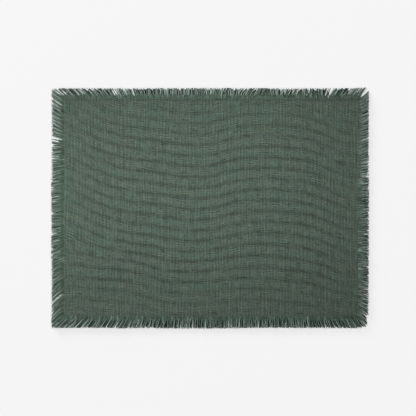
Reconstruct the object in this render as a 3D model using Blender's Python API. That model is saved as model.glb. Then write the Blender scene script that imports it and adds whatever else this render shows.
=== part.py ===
"""Woven placemat lying flat, with a frayed fringe along all four sides.

The mat is one flat woven field. Along each side the cross threads have been drawn out, so
that the yarns left there lie free as a short fringe, gathered in small locks and trimmed
to one outline. Each fringe is one piece: its locks grow from a narrow strip parted from
the edge of the field, and they lie level on the table.

Frame: +X is the mat's width, +Y runs to its back edge, +Z is up. The origin is on the
table, under the middle of the outline over the fringe tips. Sizes are in metres.
"""

import math
import random
from typing import NamedTuple

import bmesh
import bpy

MM = 0.001

# Outline over the fringe tips.
OUTLINE_WIDTH = 460 * MM
OUTLINE_DEPTH = 349 * MM
HALF_WIDTH = OUTLINE_WIDTH / 2
HALF_DEPTH = OUTLINE_DEPTH / 2

# Where the fringe roots lie, measured out from the middle of the outline.
ROOT_LEFT = 212.4 * MM
ROOT_RIGHT = 216.1 * MM
ROOT_BACK = 162.4 * MM
ROOT_FRONT = 158.1 * MM

# The woven field: how thick it lies, and how its top rises and falls.
FIELD_THICKNESS = 1.4 * MM
FIELD_WAVE_HEIGHT = 0.12 * MM
FIELD_WAVE_LENGTH = 118 * MM
FIELD_COLUMNS = 36
FIELD_ROWS = 26

# The strip that holds the roots of a fringe, and the space between any two pieces.
STRIP_WIDTH = 2.8 * MM
STRIP_THICKNESS = 1.2 * MM
PIECE_SPACE = 0.3 * MM

# A lock of fringe: its thickness at the tip, how far its top edges draw in, its widest
# half, and the space to the next lock at the roots and at the tips.
LOCK_TIP_THICKNESS = 0.75 * MM
LOCK_TOP_INSET = 0.45 * MM
LOCK_HALF_WIDTH = 2.7 * MM
LOCK_SPACE_AT_ROOT = 0.55 * MM
LOCK_SPACE_AT_TIP = 1.1 * MM
LOCK_SECTIONS = 4

# How one lock differs from the next.
TIP_SWAY = 0.9 * MM
TIP_SHORTFALL = 0.8 * MM
TIP_SLANT = 0.4 * MM
EARLY_BEND_SHARE = 0.2
TRIM_STEP = 0.1 * MM
ROUNDING = 1e-9
SEED = 41


class Row(NamedTuple):
    """A place along a side: how its yarns lean, and how short of the outline they end."""

    share: float
    lean_degrees: float
    trim_mm: float


class Corner(NamedTuple):
    """A corner of the outline: its round, and where the two fringes part at the tips."""

    round: float
    parting_x: float
    parting_y: float


class Side(NamedTuple):
    """One side of the mat. Places along it run from its low end to its high end."""

    name: str
    along: tuple
    outward: tuple
    ends: tuple
    root: float
    half_along: float
    half_outward: float
    corners: tuple
    lock_count: int
    rows: tuple

    @property
    def length(self):
        """Length of the fringe, from its roots to the outline."""
        return self.half_outward - self.root


class Lock(NamedTuple):
    """One lock of yarns: where it starts, how it runs out, and how short it is cut."""

    start: float
    slope: float
    sway: float
    shortfall: float
    slant: float


BACK_LEFT = Corner(8 * MM, -HALF_WIDTH, HALF_DEPTH)
BACK_RIGHT = Corner(6 * MM, 224.6 * MM, HALF_DEPTH)
FRONT_LEFT = Corner(4 * MM, -HALF_WIDTH, -HALF_DEPTH)
FRONT_RIGHT = Corner(6 * MM, HALF_WIDTH, -HALF_DEPTH)

BACK_ROWS = (
    Row(0.04, -44, 0.9),
    Row(0.16, -38, 0.7),
    Row(0.24, -16, 0.7),
    Row(0.29, -3, 0.8),
    Row(0.45, 0, 0.2),
    Row(0.57, 6, 0.3),
    Row(0.64, 32, 0.7),
    Row(0.71, 4, 0.8),
    Row(0.77, 28, 1.2),
    Row(0.84, 4, 1.0),
    Row(0.90, 8, 0.8),
    Row(0.94, 34, 0.8),
    Row(0.985, 36, 0.1),
)
FRONT_ROWS = (
    Row(0.04, -46, 1.1),
    Row(0.09, -42, 1.3),
    Row(0.14, -33, 1.3),
    Row(0.21, -30, 0.6),
    Row(0.27, -15, 1.0),
    Row(0.36, -8, 0.5),
    Row(0.49, 0, 0.1),
    Row(0.63, 3, 1.1),
    Row(0.80, 6, 1.2),
    Row(0.89, 22, 0.9),
    Row(0.96, 27, 0.7),
)
LEFT_ROWS = (
    Row(0.05, -43, 0.9),
    Row(0.15, -40, 1.2),
    Row(0.24, -30, 1.0),
    Row(0.33, -18, 0.2),
    Row(0.42, -8, 0.7),
    Row(0.60, -8, 0.2),
    Row(0.67, -12, 0.6),
    Row(0.76, 4, 1.0),
    Row(0.85, 27, 1.4),
    Row(0.93, 35, 1.2),
)
RIGHT_ROWS = (
    Row(0.03, -43, 3.6),
    Row(0.035, -29, 1.2),
    Row(0.09, -24, 1.0),
    Row(0.15, -9, 0.6),
    Row(0.30, -3, 0.5),
    Row(0.45, 3, 0.4),
    Row(0.52, 10, 0.1),
    Row(0.60, 3, 0.1),
    Row(0.67, 9, 0.8),
    Row(0.74, 24, 0.9),
    Row(0.80, 17, 0.7),
    Row(0.88, 23, 0.6),
    Row(0.95, 31, 0.2),
)

X_AXIS = (1, 0)
Y_AXIS = (0, 1)
SIDES = (
    Side("fringe_back", X_AXIS, (0, 1), (-ROOT_LEFT, ROOT_RIGHT), ROOT_BACK,
         HALF_WIDTH, HALF_DEPTH, (BACK_LEFT, BACK_RIGHT), 86, BACK_ROWS),
    Side("fringe_front", X_AXIS, (0, -1), (-ROOT_LEFT, ROOT_RIGHT), ROOT_FRONT,
         HALF_WIDTH, HALF_DEPTH, (FRONT_LEFT, FRONT_RIGHT), 86, FRONT_ROWS),
    Side("fringe_left", Y_AXIS, (-1, 0), (-ROOT_FRONT, ROOT_BACK), ROOT_LEFT,
         HALF_DEPTH, HALF_WIDTH, (FRONT_LEFT, BACK_LEFT), 63, LEFT_ROWS),
    Side("fringe_right", Y_AXIS, (1, 0), (-ROOT_FRONT, ROOT_BACK), ROOT_RIGHT,
         HALF_DEPTH, HALF_WIDTH, (FRONT_RIGHT, BACK_RIGHT), 63, RIGHT_ROWS),
)

CLOTH_COLOR = (0.079, 0.108, 0.085, 1.0)
YARN_COLOR = (0.098, 0.128, 0.102, 1.0)
CLOTH_ROUGHNESS = 0.9


def clear_scene():
    """Remove every object of the startup scene."""
    for obj in list(bpy.data.objects):
        bpy.data.objects.remove(obj, do_unlink=True)


def make_material(name, color):
    """A matte fabric material of one colour."""
    material = bpy.data.materials.new(name)
    material.use_nodes = True
    shader = material.node_tree.nodes["Principled BSDF"]
    shader.inputs["Base Color"].default_value = color
    shader.inputs["Roughness"].default_value = CLOTH_ROUGHNESS
    material.diffuse_color = color
    return material


def add_object(bm, name, material, collection):
    """Turn a finished bmesh into a named object with its material."""
    bmesh.ops.recalc_face_normals(bm, faces=bm.faces[:])
    if bm.calc_volume(signed=True) < 0:
        bmesh.ops.reverse_faces(bm, faces=bm.faces[:])
    mesh = bpy.data.meshes.new(name)
    bm.to_mesh(mesh)
    bm.free()
    mesh.materials.append(material)
    obj = bpy.data.objects.new(name, mesh)
    collection.objects.link(obj)
    return obj


def blend(rows, share, column):
    """Value of a table column at a share of the side, straight between its rows."""
    if share <= rows[0].share:
        return getattr(rows[0], column)
    for near, far in zip(rows, rows[1:]):
        if share <= far.share:
            part = (share - near.share) / (far.share - near.share)
            return getattr(near, column) * (1 - part) + getattr(far, column) * part
    return getattr(rows[-1], column)


def corner_slope(side, end):
    """Slope of the line that parts this fringe from its neighbour at one end, 0 or 1.

    It starts where the roots of the two fringes meet and runs to the corner's parting.
    """
    corner = side.corners[end]
    point = (corner.parting_x, corner.parting_y)
    place = point[0] * side.along[0] + point[1] * side.along[1]
    out = point[0] * side.outward[0] + point[1] * side.outward[1]
    return (place - side.ends[end]) / (out - side.root)


def lean_rows(side):
    """The side's rows, with one more at each end for the parting line of the corner."""
    low, high = (math.degrees(math.atan(corner_slope(side, end))) for end in (0, 1))
    first, last = side.rows[0], side.rows[-1]
    return (Row(0.0, low, first.trim_mm), *side.rows, Row(1.0, high, last.trim_mm))


def make_locks(side, chance):
    """The locks of one side, in order from its low end."""
    rows = lean_rows(side)
    low_end, high_end = side.ends
    locks = []
    for index in range(side.lock_count):
        share = (index + 0.5) / side.lock_count
        trim = blend(rows, share, "trim_mm") * MM
        locks.append(Lock(
            start=low_end + share * (high_end - low_end),
            slope=math.tan(math.radians(blend(rows, share, "lean_degrees"))),
            sway=chance.uniform(-TIP_SWAY, TIP_SWAY),
            shortfall=trim + chance.uniform(0, TIP_SHORTFALL),
            slant=chance.uniform(-TIP_SLANT, TIP_SLANT),
        ))
    # The longest lock of the middle reaches the outline, so the fringe fills its size.
    middle = range(side.lock_count // 4, 3 * side.lock_count // 4)
    longest = min(middle, key=lambda index: locks[index].shortfall)
    locks[longest] = locks[longest]._replace(shortfall=0.0, slant=0.0)
    return locks


def lock_centre(side, lock, out):
    """Place along the side of a lock's centre line, at a distance out from the roots."""
    share = out / side.length
    run = out * (1 - EARLY_BEND_SHARE * (1 - share))
    return lock.start + lock.slope * run + lock.sway * share * share


def lock_edges(side, locks, index, out):
    """Low and high edge of a lock at a distance out from the roots.

    Each edge keeps half a space from the line halfway to the next lock. The first and the
    last lock of a side keep clear of the line that parts the two fringes of a corner.
    """
    share = max(0.0, out / side.length)
    space = LOCK_SPACE_AT_ROOT * (1 - share) + LOCK_SPACE_AT_TIP * share
    centre = lock_centre(side, locks[index], out)
    if index == 0:
        low = side.ends[0] + corner_slope(side, 0) * out + PIECE_SPACE
    else:
        low = (lock_centre(side, locks[index - 1], out) + centre + space) / 2
    if index == len(locks) - 1:
        high = side.ends[1] + corner_slope(side, 1) * out - PIECE_SPACE
    else:
        high = (lock_centre(side, locks[index + 1], out) + centre - space) / 2
    return max(low, centre - LOCK_HALF_WIDTH), min(high, centre + LOCK_HALF_WIDTH)


def beyond_outline(side, place, out):
    """How far a point lies beyond the outline with its round corners; inside, below 0."""
    corner = side.corners[0 if place < 0 else 1]
    past_along = abs(place) - side.half_along + corner.round
    past_out = out - side.length + corner.round
    outside = math.hypot(max(past_along, 0.0), max(past_out, 0.0))
    return outside + min(max(past_along, past_out), 0.0) - corner.round


def lock_length(side, locks, index):
    """How far out a lock runs before both corners of its tip meet the trimmed outline."""
    limit = ROUNDING - locks[index].shortfall
    for step in range(int(side.length / TRIM_STEP)):
        out = side.length - step * TRIM_STEP
        edges = lock_edges(side, locks, index, out)
        if max(beyond_outline(side, edge, out) for edge in edges) <= limit:
            return out
    return side.length / 2


def build_strip(side, locks):
    """The strip of roots, split across at each lock, and the outer faces of the locks."""
    edges = []
    for index in range(len(locks)):
        edges.extend(lock_edges(side, locks, index, 0.0))
    bm = bmesh.new()
    bmesh.ops.create_grid(bm, x_segments=len(edges) - 1, y_segments=1, size=0.5)
    ordered = sorted(bm.verts, key=lambda vert: (round(vert.co.x, 6), vert.co.y))
    middle = (edges[0] + edges[-1]) / 2
    half = (edges[-1] - edges[0]) / 2
    mitre = (half - STRIP_WIDTH) / half
    for column, place in enumerate(edges):
        inner, outer = ordered[2 * column], ordered[2 * column + 1]
        inner.co = (middle + (place - middle) * mitre, -STRIP_WIDTH, 0.0)
        outer.co = (place, 0.0, 0.0)
    raised = bmesh.ops.extrude_face_region(bm, geom=bm.faces[:])["geom"]
    for vert in raised:
        if isinstance(vert, bmesh.types.BMVert):
            vert.co.z = STRIP_THICKNESS
    outer_faces = [
        face for face in bm.faces
        if all(abs(vert.co.y) < PIECE_SPACE for vert in face.verts)
    ]
    outer_faces.sort(key=lambda face: face.calc_center_median().x)
    return bm, outer_faces[::2]


def draw_out_lock(face, edges, out, slant, top):
    """Move a lock's end face to its next section: its floor edge and its top edge."""
    centre = face.calc_center_median()
    low, high = edges
    inset = min(LOCK_TOP_INSET, (high - low) / 4)
    for vert in face.verts:
        is_high = vert.co.x > centre.x
        is_top = vert.co.z > centre.z
        draw_in = inset if is_top else 0.0
        vert.co.x = high - draw_in if is_high else low + draw_in
        vert.co.y = out + (slant if is_high else -slant)
        vert.co.z = top if is_top else 0.0


def build_fringe(side, material, collection, chance):
    """One fringe: its strip of roots, with every lock drawn out of it in sections."""
    locks = make_locks(side, chance)
    lengths = [lock_length(side, locks, index) for index in range(len(locks))]
    bm, faces = build_strip(side, locks)
    for section in range(1, LOCK_SECTIONS + 1):
        faces = bmesh.ops.extrude_discrete_faces(bm, faces=faces)["faces"]
        faces.sort(key=lambda face: face.calc_center_median().x)
        share = section / LOCK_SECTIONS
        top = STRIP_THICKNESS * (1 - share) + LOCK_TIP_THICKNESS * share
        at_tip = section == LOCK_SECTIONS
        for index, face in enumerate(faces):
            out = lengths[index] * share
            slant = locks[index].slant if at_tip else 0.0
            edges = lock_edges(side, locks, index, out)
            draw_out_lock(face, edges, out - abs(slant), slant, top)
    for vert in bm.verts:
        place, out = vert.co.x, side.root + vert.co.y
        vert.co.x = place * side.along[0] + out * side.outward[0]
        vert.co.y = place * side.along[1] + out * side.outward[1]
    return add_object(bm, side.name, material, collection)


def field_top(x, y):
    """Height of the field's top at a place: two slow swells that cross each other."""
    turn = 2 * math.pi / FIELD_WAVE_LENGTH
    swell = math.sin(turn * (x + 0.35 * y)) + math.sin(turn * (0.8 * y - 0.5 * x) + 1.1)
    return FIELD_THICKNESS + FIELD_WAVE_HEIGHT * swell / 2


def build_field(material, collection):
    """The woven field: a flat sheet that ends just inside the strips of the fringes."""
    inset = STRIP_WIDTH + PIECE_SPACE
    left, right = -ROOT_LEFT + inset, ROOT_RIGHT - inset
    front, back = -ROOT_FRONT + inset, ROOT_BACK - inset
    bm = bmesh.new()
    bmesh.ops.create_grid(bm, x_segments=FIELD_COLUMNS, y_segments=FIELD_ROWS, size=0.5)
    for vert in bm.verts:
        vert.co.x = left + (vert.co.x + 0.5) * (right - left)
        vert.co.y = front + (vert.co.y + 0.5) * (back - front)
    raised = bmesh.ops.extrude_face_region(bm, geom=bm.faces[:])["geom"]
    for vert in raised:
        if isinstance(vert, bmesh.types.BMVert):
            vert.co.z = field_top(vert.co.x, vert.co.y)
    underside = [
        face for face in bm.faces if all(vert.co.z < FIELD_THICKNESS / 2 for vert in face.verts)
    ]
    bmesh.ops.dissolve_faces(bm, faces=underside, use_verts=False)
    return add_object(bm, "cloth", material, collection)


def main():
    """Build the field and its four fringes."""
    clear_scene()
    collection = bpy.data.collections.new("fabric_placemat")
    bpy.context.scene.collection.children.link(collection)
    cloth = make_material("woven_cloth", CLOTH_COLOR)
    yarn = make_material("fringe_yarn", YARN_COLOR)
    chance = random.Random(SEED)
    build_field(cloth, collection)
    for side in SIDES:
        build_fringe(side, yarn, collection, chance)


main()
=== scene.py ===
"""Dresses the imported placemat: its woven field, its frayed fringe and its stitching.

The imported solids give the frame. The woven field is one thin closed sheet with the weave
in its material. Every fringe is built yarn by yarn over its own solid, in a lower and an
upper layer, with the last cross yarns of the weave that hold it. Sizes are in millimetres
in the classes of the mat, and in metres in the studio and in the meshes. +X is the width,
+Y the back, +Z up.
"""

from __future__ import annotations

import logging
import math
from dataclasses import dataclass, field
from enum import Enum
from typing import Any, NamedTuple, Sequence

import bpy
import numpy as np
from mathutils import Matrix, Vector


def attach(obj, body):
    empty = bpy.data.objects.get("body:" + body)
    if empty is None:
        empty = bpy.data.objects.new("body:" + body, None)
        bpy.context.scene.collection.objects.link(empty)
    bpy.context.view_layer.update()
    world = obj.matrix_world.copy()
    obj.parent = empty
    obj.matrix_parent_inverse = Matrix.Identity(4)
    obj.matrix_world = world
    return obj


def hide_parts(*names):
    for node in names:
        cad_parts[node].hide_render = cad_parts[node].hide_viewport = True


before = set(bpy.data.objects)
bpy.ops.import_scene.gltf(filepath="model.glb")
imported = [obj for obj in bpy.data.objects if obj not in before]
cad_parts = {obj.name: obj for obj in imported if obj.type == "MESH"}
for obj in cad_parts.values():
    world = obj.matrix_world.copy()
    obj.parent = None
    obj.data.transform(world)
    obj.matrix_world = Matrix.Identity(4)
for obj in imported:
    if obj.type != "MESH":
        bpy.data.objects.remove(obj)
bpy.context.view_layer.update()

log = logging.getLogger("placemat")

MM: float = 0.001
BODY: str = "root"
TURN: float = 2.0 * math.pi
TINY: float = 1e-9
FRINGE_SEED: int = 311

Array = np.ndarray
Pair = tuple[float, float]
Point = tuple[float, float, float]
Color = tuple[float, float, float]
Socket = bpy.types.NodeSocket
Number = float | Socket
Tree = bpy.types.NodeTree
Node = bpy.types.Node

WHITE: Color = (1.0, 1.0, 1.0)

# Half sizes of the outline over the fringe tips, and where the fringe roots lie.
HALF_WIDTH: float = 230.0
HALF_DEPTH: float = 174.5
ROOT_LEFT: float = 212.4
ROOT_RIGHT: float = 216.1
ROOT_BACK: float = 162.4
ROOT_FRONT: float = 158.1

# Distance from yarn to yarn in the cloth, across the warp and across the weft.
WARP_PITCH: float = 1.09
WEFT_PITCH: float = 1.25


class Layer(Enum):
    """The two layers in which the yarns of a fringe lie."""

    LOWER = "lower"
    UPPER = "upper"


class Trait(Enum):
    """What the rows of a side tell of its yarns."""

    TRIM = "trim"
    LIGHT = "light"
    OPEN = "open"


class Lit(Enum):
    """What a softbox lights, the rest being flagged off."""

    MAT = "mat"
    TABLE = "table"


class Slot(Enum):
    """The record's material slots."""

    CLOTH = "woven_cloth"
    YARN = "fringe_yarn"


@dataclass(frozen=True)
class Ramp:
    """A smooth change: while a mask runs from low to high, the result runs from start to end."""

    low: float
    high: float
    start: float
    end: float


@dataclass(frozen=True)
class Mottle:
    """A random pattern over the cloth: the size of its patches in mm, its number among
    the patterns, how finely it is broken up, and the tones that it turns into."""

    width: float
    height: float
    number: float
    detail: float
    ramp: Ramp | None = None


class Graph:
    """Places and links the nodes of one material or of one node group. Its two mixes are
    the numbers of the Mix node's sockets for numbers and for colours."""

    columns: int = 9
    column_width: int = 180
    row_height: int = 220
    number_mix: tuple[int, ...] = (0, 2, 3)
    color_mix: tuple[int, ...] = (0, 6, 7)
    noise_roughness: float = 0.55

    def __init__(self, tree: Tree) -> None:
        """Start on a node tree.

        Args:
            tree: The tree that takes the nodes.
        """
        self.tree = tree
        self.count = 0

    def add(self, kind: str, **settings: Any) -> Node:
        """Add a node.

        Args:
            kind: The node's type name, without ShaderNode before it.
            settings: Properties of the node and their values.

        Returns:
            The new node.
        """
        node = self.tree.nodes.new("ShaderNode" + kind)
        for name, value in settings.items():
            setattr(node, name, value)
        row, column = divmod(self.count, self.columns)
        node.location = (self.column_width * column, -self.row_height * row)
        self.count += 1
        return node

    def feed(self, socket: Socket, value: Any) -> None:
        """Link a socket's value if it is a socket too, or else set it.

        Args:
            socket: The input to fill.
            value: A socket, a number or a tuple.
        """
        if isinstance(value, bpy.types.NodeSocket):
            self.tree.links.new(value, socket)
        else:
            socket.default_value = value

    def value(self, operation: str, *terms: Number, clamp: bool = False) -> Socket:
        """Work out a number.

        Args:
            operation: The Math node's operation.
            terms: Its inputs.
            clamp: Whether the result is kept from 0 to 1.

        Returns:
            The result's socket.
        """
        node = self.add("Math", operation=operation, use_clamp=clamp)
        for socket, term in zip(node.inputs, terms):
            self.feed(socket, term)
        return node.outputs[0]

    def times(self, first: Number, *others: Number) -> Number:
        """Multiply numbers.

        Args:
            first: The first factor.
            others: The other factors.

        Returns:
            The product.
        """
        product = first
        for other in others:
            product = self.value("MULTIPLY", product, other)
        return product

    def plus(self, first: Number, second: Number) -> Socket:
        """Add two numbers."""
        return self.value("ADD", first, second)

    def minus(self, first: Number, second: Number) -> Socket:
        """Take the second number from the first."""
        return self.value("SUBTRACT", first, second)

    def over(self, first: Number, second: Number) -> Socket:
        """Divide the first number by the second."""
        return self.value("DIVIDE", first, second)

    def ramp(self, value: Number, ramp: Ramp) -> Socket:
        """Pass a number through a smooth change.

        Args:
            value: The number.
            ramp: The change.

        Returns:
            The result's socket.
        """
        node = self.add("MapRange", interpolation_type="SMOOTHSTEP")
        for socket, term in zip(node.inputs, (value, ramp.low, ramp.high, ramp.start, ramp.end)):
            self.feed(socket, term)
        return node.outputs[0]

    def place(self, x: Number, y: Number, z: Number = 0.0) -> Socket:
        """Join three numbers into a vector.

        Args:
            x: Its first number.
            y: Its second number.
            z: Its third number.

        Returns:
            The vector's socket.
        """
        node = self.add("CombineXYZ")
        for socket, term in zip(node.inputs, (x, y, z)):
            self.feed(socket, term)
        return node.outputs[0]

    def parts(self, vector: Socket) -> tuple[Socket, Socket]:
        """Take a vector apart.

        Args:
            vector: The vector's socket.

        Returns:
            The sockets of its first two numbers.
        """
        node = self.add("SeparateXYZ")
        self.feed(node.inputs[0], vector)
        return node.outputs[0], node.outputs[1]

    def noise(self, vector: Socket, detail: float) -> Socket:
        """Add a soft random pattern.

        Args:
            vector: Where it is read.
            detail: How finely it is broken up.

        Returns:
            The socket of its value, from 0 to 1.
        """
        node = self.add("TexNoise", noise_dimensions="3D", normalize=True)
        self.feed(node.inputs["Vector"], vector)
        node.inputs["Scale"].default_value = 1.0
        node.inputs["Detail"].default_value = detail
        node.inputs["Roughness"].default_value = self.noise_roughness
        return node.outputs["Fac"]

    def mottle(self, x: Number, y: Number, mottle: Mottle) -> Socket:
        """Spread a random pattern over the cloth.

        Args:
            x: Place across the cloth in mm.
            y: Place along it in mm.
            mottle: The pattern.

        Returns:
            The socket of its tone, or of its bare value if it has no ramp.
        """
        vector = self.place(self.over(x, mottle.width), self.over(y, mottle.height), mottle.number)
        pattern = self.noise(vector, mottle.detail)
        return self.ramp(pattern, mottle.ramp) if mottle.ramp else pattern

    def chance(self, number: Number) -> Socket:
        """Give each whole number a steady random value.

        Args:
            number: The whole number.

        Returns:
            The socket of its value, from 0 to 1.
        """
        node = self.add("TexWhiteNoise", noise_dimensions="1D")
        self.feed(node.inputs["W"], number)
        return node.outputs["Value"]

    def mix(self, factor: Number, first: Any, second: Any, mode: str = "MIX") -> Socket:
        """Blend two colours.

        Args:
            factor: How much of the second there is.
            first: The first colour, or its socket.
            second: The second colour, or its socket.
            mode: The way of blending.

        Returns:
            The blend's socket.
        """
        node = self.add("Mix", data_type="RGBA", blend_type=mode, clamp_factor=True)
        for index, term in zip(self.color_mix, (factor, first, second)):
            self.feed(node.inputs[index], (*term, 1.0) if isinstance(term, tuple) else term)
        return node.outputs[2]

    def choose(self, factor: Number, first: Socket, second: Socket) -> Socket:
        """Blend two numbers.

        Args:
            factor: How much of the second there is.
            first: The first number.
            second: The second number.

        Returns:
            The blend's socket.
        """
        node = self.add("Mix", data_type="FLOAT")
        for index, term in zip(self.number_mix, (factor, first, second)):
            self.feed(node.inputs[index], term)
        return node.outputs[0]

    def shade(self, color: Socket, amount: Number) -> Socket:
        """Multiply a colour or a vector by a number.

        Args:
            color: Its socket.
            amount: The number.

        Returns:
            The product's socket.
        """
        node = self.add("VectorMath", operation="SCALE")
        self.feed(node.inputs[0], color)
        self.feed(node.inputs[3], amount)
        return node.outputs[0]

    def spot(self) -> Socket:
        """Give the place on the piece, in millimetres."""
        return self.shade(self.add("TexCoord").outputs["Object"], 1.0 / MM)

    def bump(self, height: Socket, strength: float, distance: float) -> Socket:
        """Raise the surface.

        Args:
            height: The relief, from 0 to 1.
            strength: How strongly it shows.
            distance: How high it stands, in mm.

        Returns:
            The socket of the surface's new direction.
        """
        node = self.add("Bump")
        node.inputs["Strength"].default_value = strength
        node.inputs["Distance"].default_value = distance * MM
        self.feed(node.inputs["Height"], height)
        return node.outputs["Normal"]

    def group(self, tree: Tree, **inputs: Any) -> Node:
        """Place a node group with values of its own.

        Args:
            tree: The group.
            inputs: Its inputs by name.

        Returns:
            The group's node.
        """
        node = self.add("Group", node_tree=tree)
        for name, value in inputs.items():
            self.feed(node.inputs[name], value)
        return node


def new_group(name: str, inputs: dict[str, str], outputs: dict[str, str]) -> tuple[Graph, Node, Node]:
    """Make an empty node group with named sockets.

    Args:
        name: The group's name.
        inputs: Kind of each input, by its name.
        outputs: Kind of each output, by its name.

    Returns:
        A graph on the group's tree, its input node and its output node.
    """
    tree = bpy.data.node_groups.new(name, "ShaderNodeTree")
    for way, sockets in (("INPUT", inputs), ("OUTPUT", outputs)):
        for label, kind in sockets.items():
            tree.interface.new_socket(name=label, in_out=way, socket_type="NodeSocket" + kind)
    start, end = tree.nodes.new("NodeGroupInput"), tree.nodes.new("NodeGroupOutput")
    start.location = (-2 * Graph.column_width, 0)
    end.location = (Graph.columns * Graph.column_width, 0)
    return Graph(tree), start, end


@dataclass(frozen=True)
class DyeShades:
    """Colours of the dyed yarn, from which every piece takes its own mixture."""

    bluish: Color = (0.083, 0.1305, 0.1012)
    olive: Color = (0.094, 0.1262, 0.0942)
    grey: Color = (0.1075, 0.1355, 0.1115)
    patch_length: float = 22.0
    patch_height: float = 9.0
    patch_detail: float = 3.0
    yarn_shift: float = 1.6
    olive_part: Ramp = Ramp(0.36, 0.64, 0.0, 1.0)
    grey_part: Ramp = Ramp(0.55, 1.0, 0.0, 0.75)

    def build(self) -> Tree:
        """Make the group that colours a yarn by its place and by its own chance.

        Returns:
            The group: Position in mm and Chance in, Color out.
        """
        g, start, end = new_group(
            "yarn dye", {"Position": "Vector", "Chance": "Float"}, {"Color": "Color"})
        x, y = g.parts(start.outputs["Position"])
        chance = start.outputs["Chance"]
        patches = g.place(
            g.over(x, self.patch_length), g.over(y, self.patch_height), g.times(chance, self.yarn_shift))
        olive = g.ramp(g.noise(patches, self.patch_detail), self.olive_part)
        color = g.mix(olive, self.bluish, self.olive)
        g.feed(end.inputs["Color"], g.mix(g.ramp(chance, self.grey_part), color, self.grey))
        return g.tree


@dataclass(frozen=True)
class FibreTwist:
    """The twist of a spun yarn: slanting fibres, thick and thin places, loose fuzz. Its
    ramps turn the fuzz, the thickness and the groove of the twist into tones."""

    turn_length: float = 1.5
    yarn_shift: float = 37.0
    hair_lag: float = 0.4
    hair_count: float = 6.0
    hair_run: float = 0.8
    hair_detail: float = 3.0
    slub_length: float = 9.0
    slub_detail: float = 2.0
    fuzz: Ramp = Ramp(0.3, 0.7, 0.78, 1.18)
    thickness: Ramp = Ramp(0.35, 0.7, 0.9, 1.12)
    # The groove ramp paints shade into the grooves between the twisted strands.
    groove: Ramp = Ramp(0.0, 0.55, 0.62, 1.0)
    strand_height: float = 0.7
    hair_height: float = 0.5

    def build(self) -> Tree:
        """Make the group that gives the fibres of a yarn.

        Returns:
            The group: Along in mm, Around in turns and Chance in, Shade and Height out.
        """
        g, start, end = new_group(
            "yarn fibre",
            {"Along": "Float", "Around": "Float", "Chance": "Float"},
            {"Shade": "Float", "Height": "Float"},
        )
        along = start.outputs["Along"]
        own = g.times(start.outputs["Chance"], self.yarn_shift)
        turns = g.plus(g.over(along, self.turn_length), start.outputs["Around"])
        strand = g.value("ABSOLUTE", g.value("SINE", g.times(turns, math.pi)))
        across = g.times(g.minus(turns, g.times(along, self.hair_lag)), self.hair_count)
        hair = g.noise(g.place(across, g.times(along, self.hair_run), own), self.hair_detail)
        slub = g.noise(g.place(g.over(along, self.slub_length), own), self.slub_detail)
        shade = g.times(
            g.ramp(hair, self.fuzz), g.ramp(slub, self.thickness), g.ramp(strand, self.groove))
        height = g.plus(g.times(strand, self.strand_height), g.times(hair, self.hair_height))
        g.feed(end.inputs["Shade"], shade)
        g.feed(end.inputs["Height"], height)
        return g.tree


@dataclass(frozen=True)
class PlainWeave:
    """The crossing of warp and weft, one over and one under."""

    warp_pitch: float = WARP_PITCH
    weft_pitch: float = WEFT_PITCH
    fullness: float = 0.94
    roundness: float = 0.62
    rise: float = 0.38
    gap: Ramp = Ramp(0.12, 0.62, 1.0, 0.0)

    def profile(self, g: Graph, place: Socket) -> Socket:
        """Round the top of a yarn across its own width.

        Args:
            g: The group's graph.
            place: Place across the yarns, in yarns.

        Returns:
            The socket of its height, from 0 at its sides to 1.
        """
        off = g.minus(g.value("FRACT", place), 0.5)
        side = g.value("POWER", g.times(off, 2.0 / self.fullness), 2.0)
        return g.value("SQRT", g.value("MAXIMUM", g.minus(1.0, side), 0.0))

    def wave(self, g: Graph, place: Socket, crossing: Socket) -> Socket:
        """Lift a yarn and lower it along its length, by the parity of the yarn itself."""
        steps = g.plus(g.minus(place, 0.5), g.value("FLOOR", crossing))
        return g.value("COSINE", g.times(steps, math.pi))

    def build(self) -> Tree:
        """Make the group that gives the weave at a place on the cloth.

        Returns:
            The group: X and Y in mm in; Height, Gap, Weft On Top, Warp and Weft out.
        """
        outputs = ("Height", "Gap", "Weft On Top", "Warp", "Weft")
        g, start, end = new_group(
            "plain weave", {"X": "Float", "Y": "Float"}, {name: "Float" for name in outputs})
        u = g.over(start.outputs["X"], self.warp_pitch)
        v = g.over(start.outputs["Y"], self.weft_pitch)
        warp_wave = self.wave(g, v, u)
        weft_wave = g.times(self.wave(g, u, v), -1.0)
        warp = g.plus(g.times(self.profile(g, u), self.roundness), g.times(warp_wave, self.rise))
        weft = g.plus(g.times(self.profile(g, v), self.roundness), g.times(weft_wave, self.rise))
        top = g.value("MAXIMUM", warp, weft)
        results = (
            top, g.ramp(top, self.gap), g.value("GREATER_THAN", weft, warp),
            g.value("FLOOR", u), g.value("FLOOR", v),
        )
        for name, result in zip(outputs, results):
            g.feed(end.inputs[name], result)
        return g.tree


@dataclass
class Effects:
    """The node groups that the materials share, each built once."""

    dye: Tree = field(default_factory=lambda: DyeShades().build())
    fibre: Tree = field(default_factory=lambda: FibreTwist().build())
    weave: Tree = field(default_factory=lambda: PlainWeave().build())


@dataclass(frozen=True)
class Matte:
    """The surface of a matte textile, and the soft light that its loose fibres catch."""

    name: str
    roughness: float
    sheen: float
    sheen_roughness: float = 0.6
    specular: float = 0.2

    def start(self) -> tuple[bpy.types.Material, Graph, Node]:
        """Make the bare material.

        Returns:
            The material, a graph on its tree, and its shader.
        """
        material = bpy.data.materials.new(self.name)
        material.use_nodes = True
        shader = material.node_tree.nodes["Principled BSDF"]
        shader.inputs["Roughness"].default_value = self.roughness
        shader.inputs["Sheen Weight"].default_value = self.sheen
        shader.inputs["Sheen Roughness"].default_value = self.sheen_roughness
        shader.inputs["Specular IOR Level"].default_value = self.specular
        return material, Graph(material.node_tree), shader


@dataclass(frozen=True)
class BowRow:
    """A place across the mat: how far its weft hangs there, at the back and in front."""

    share: float
    back_drop: float
    front_drop: float


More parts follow.
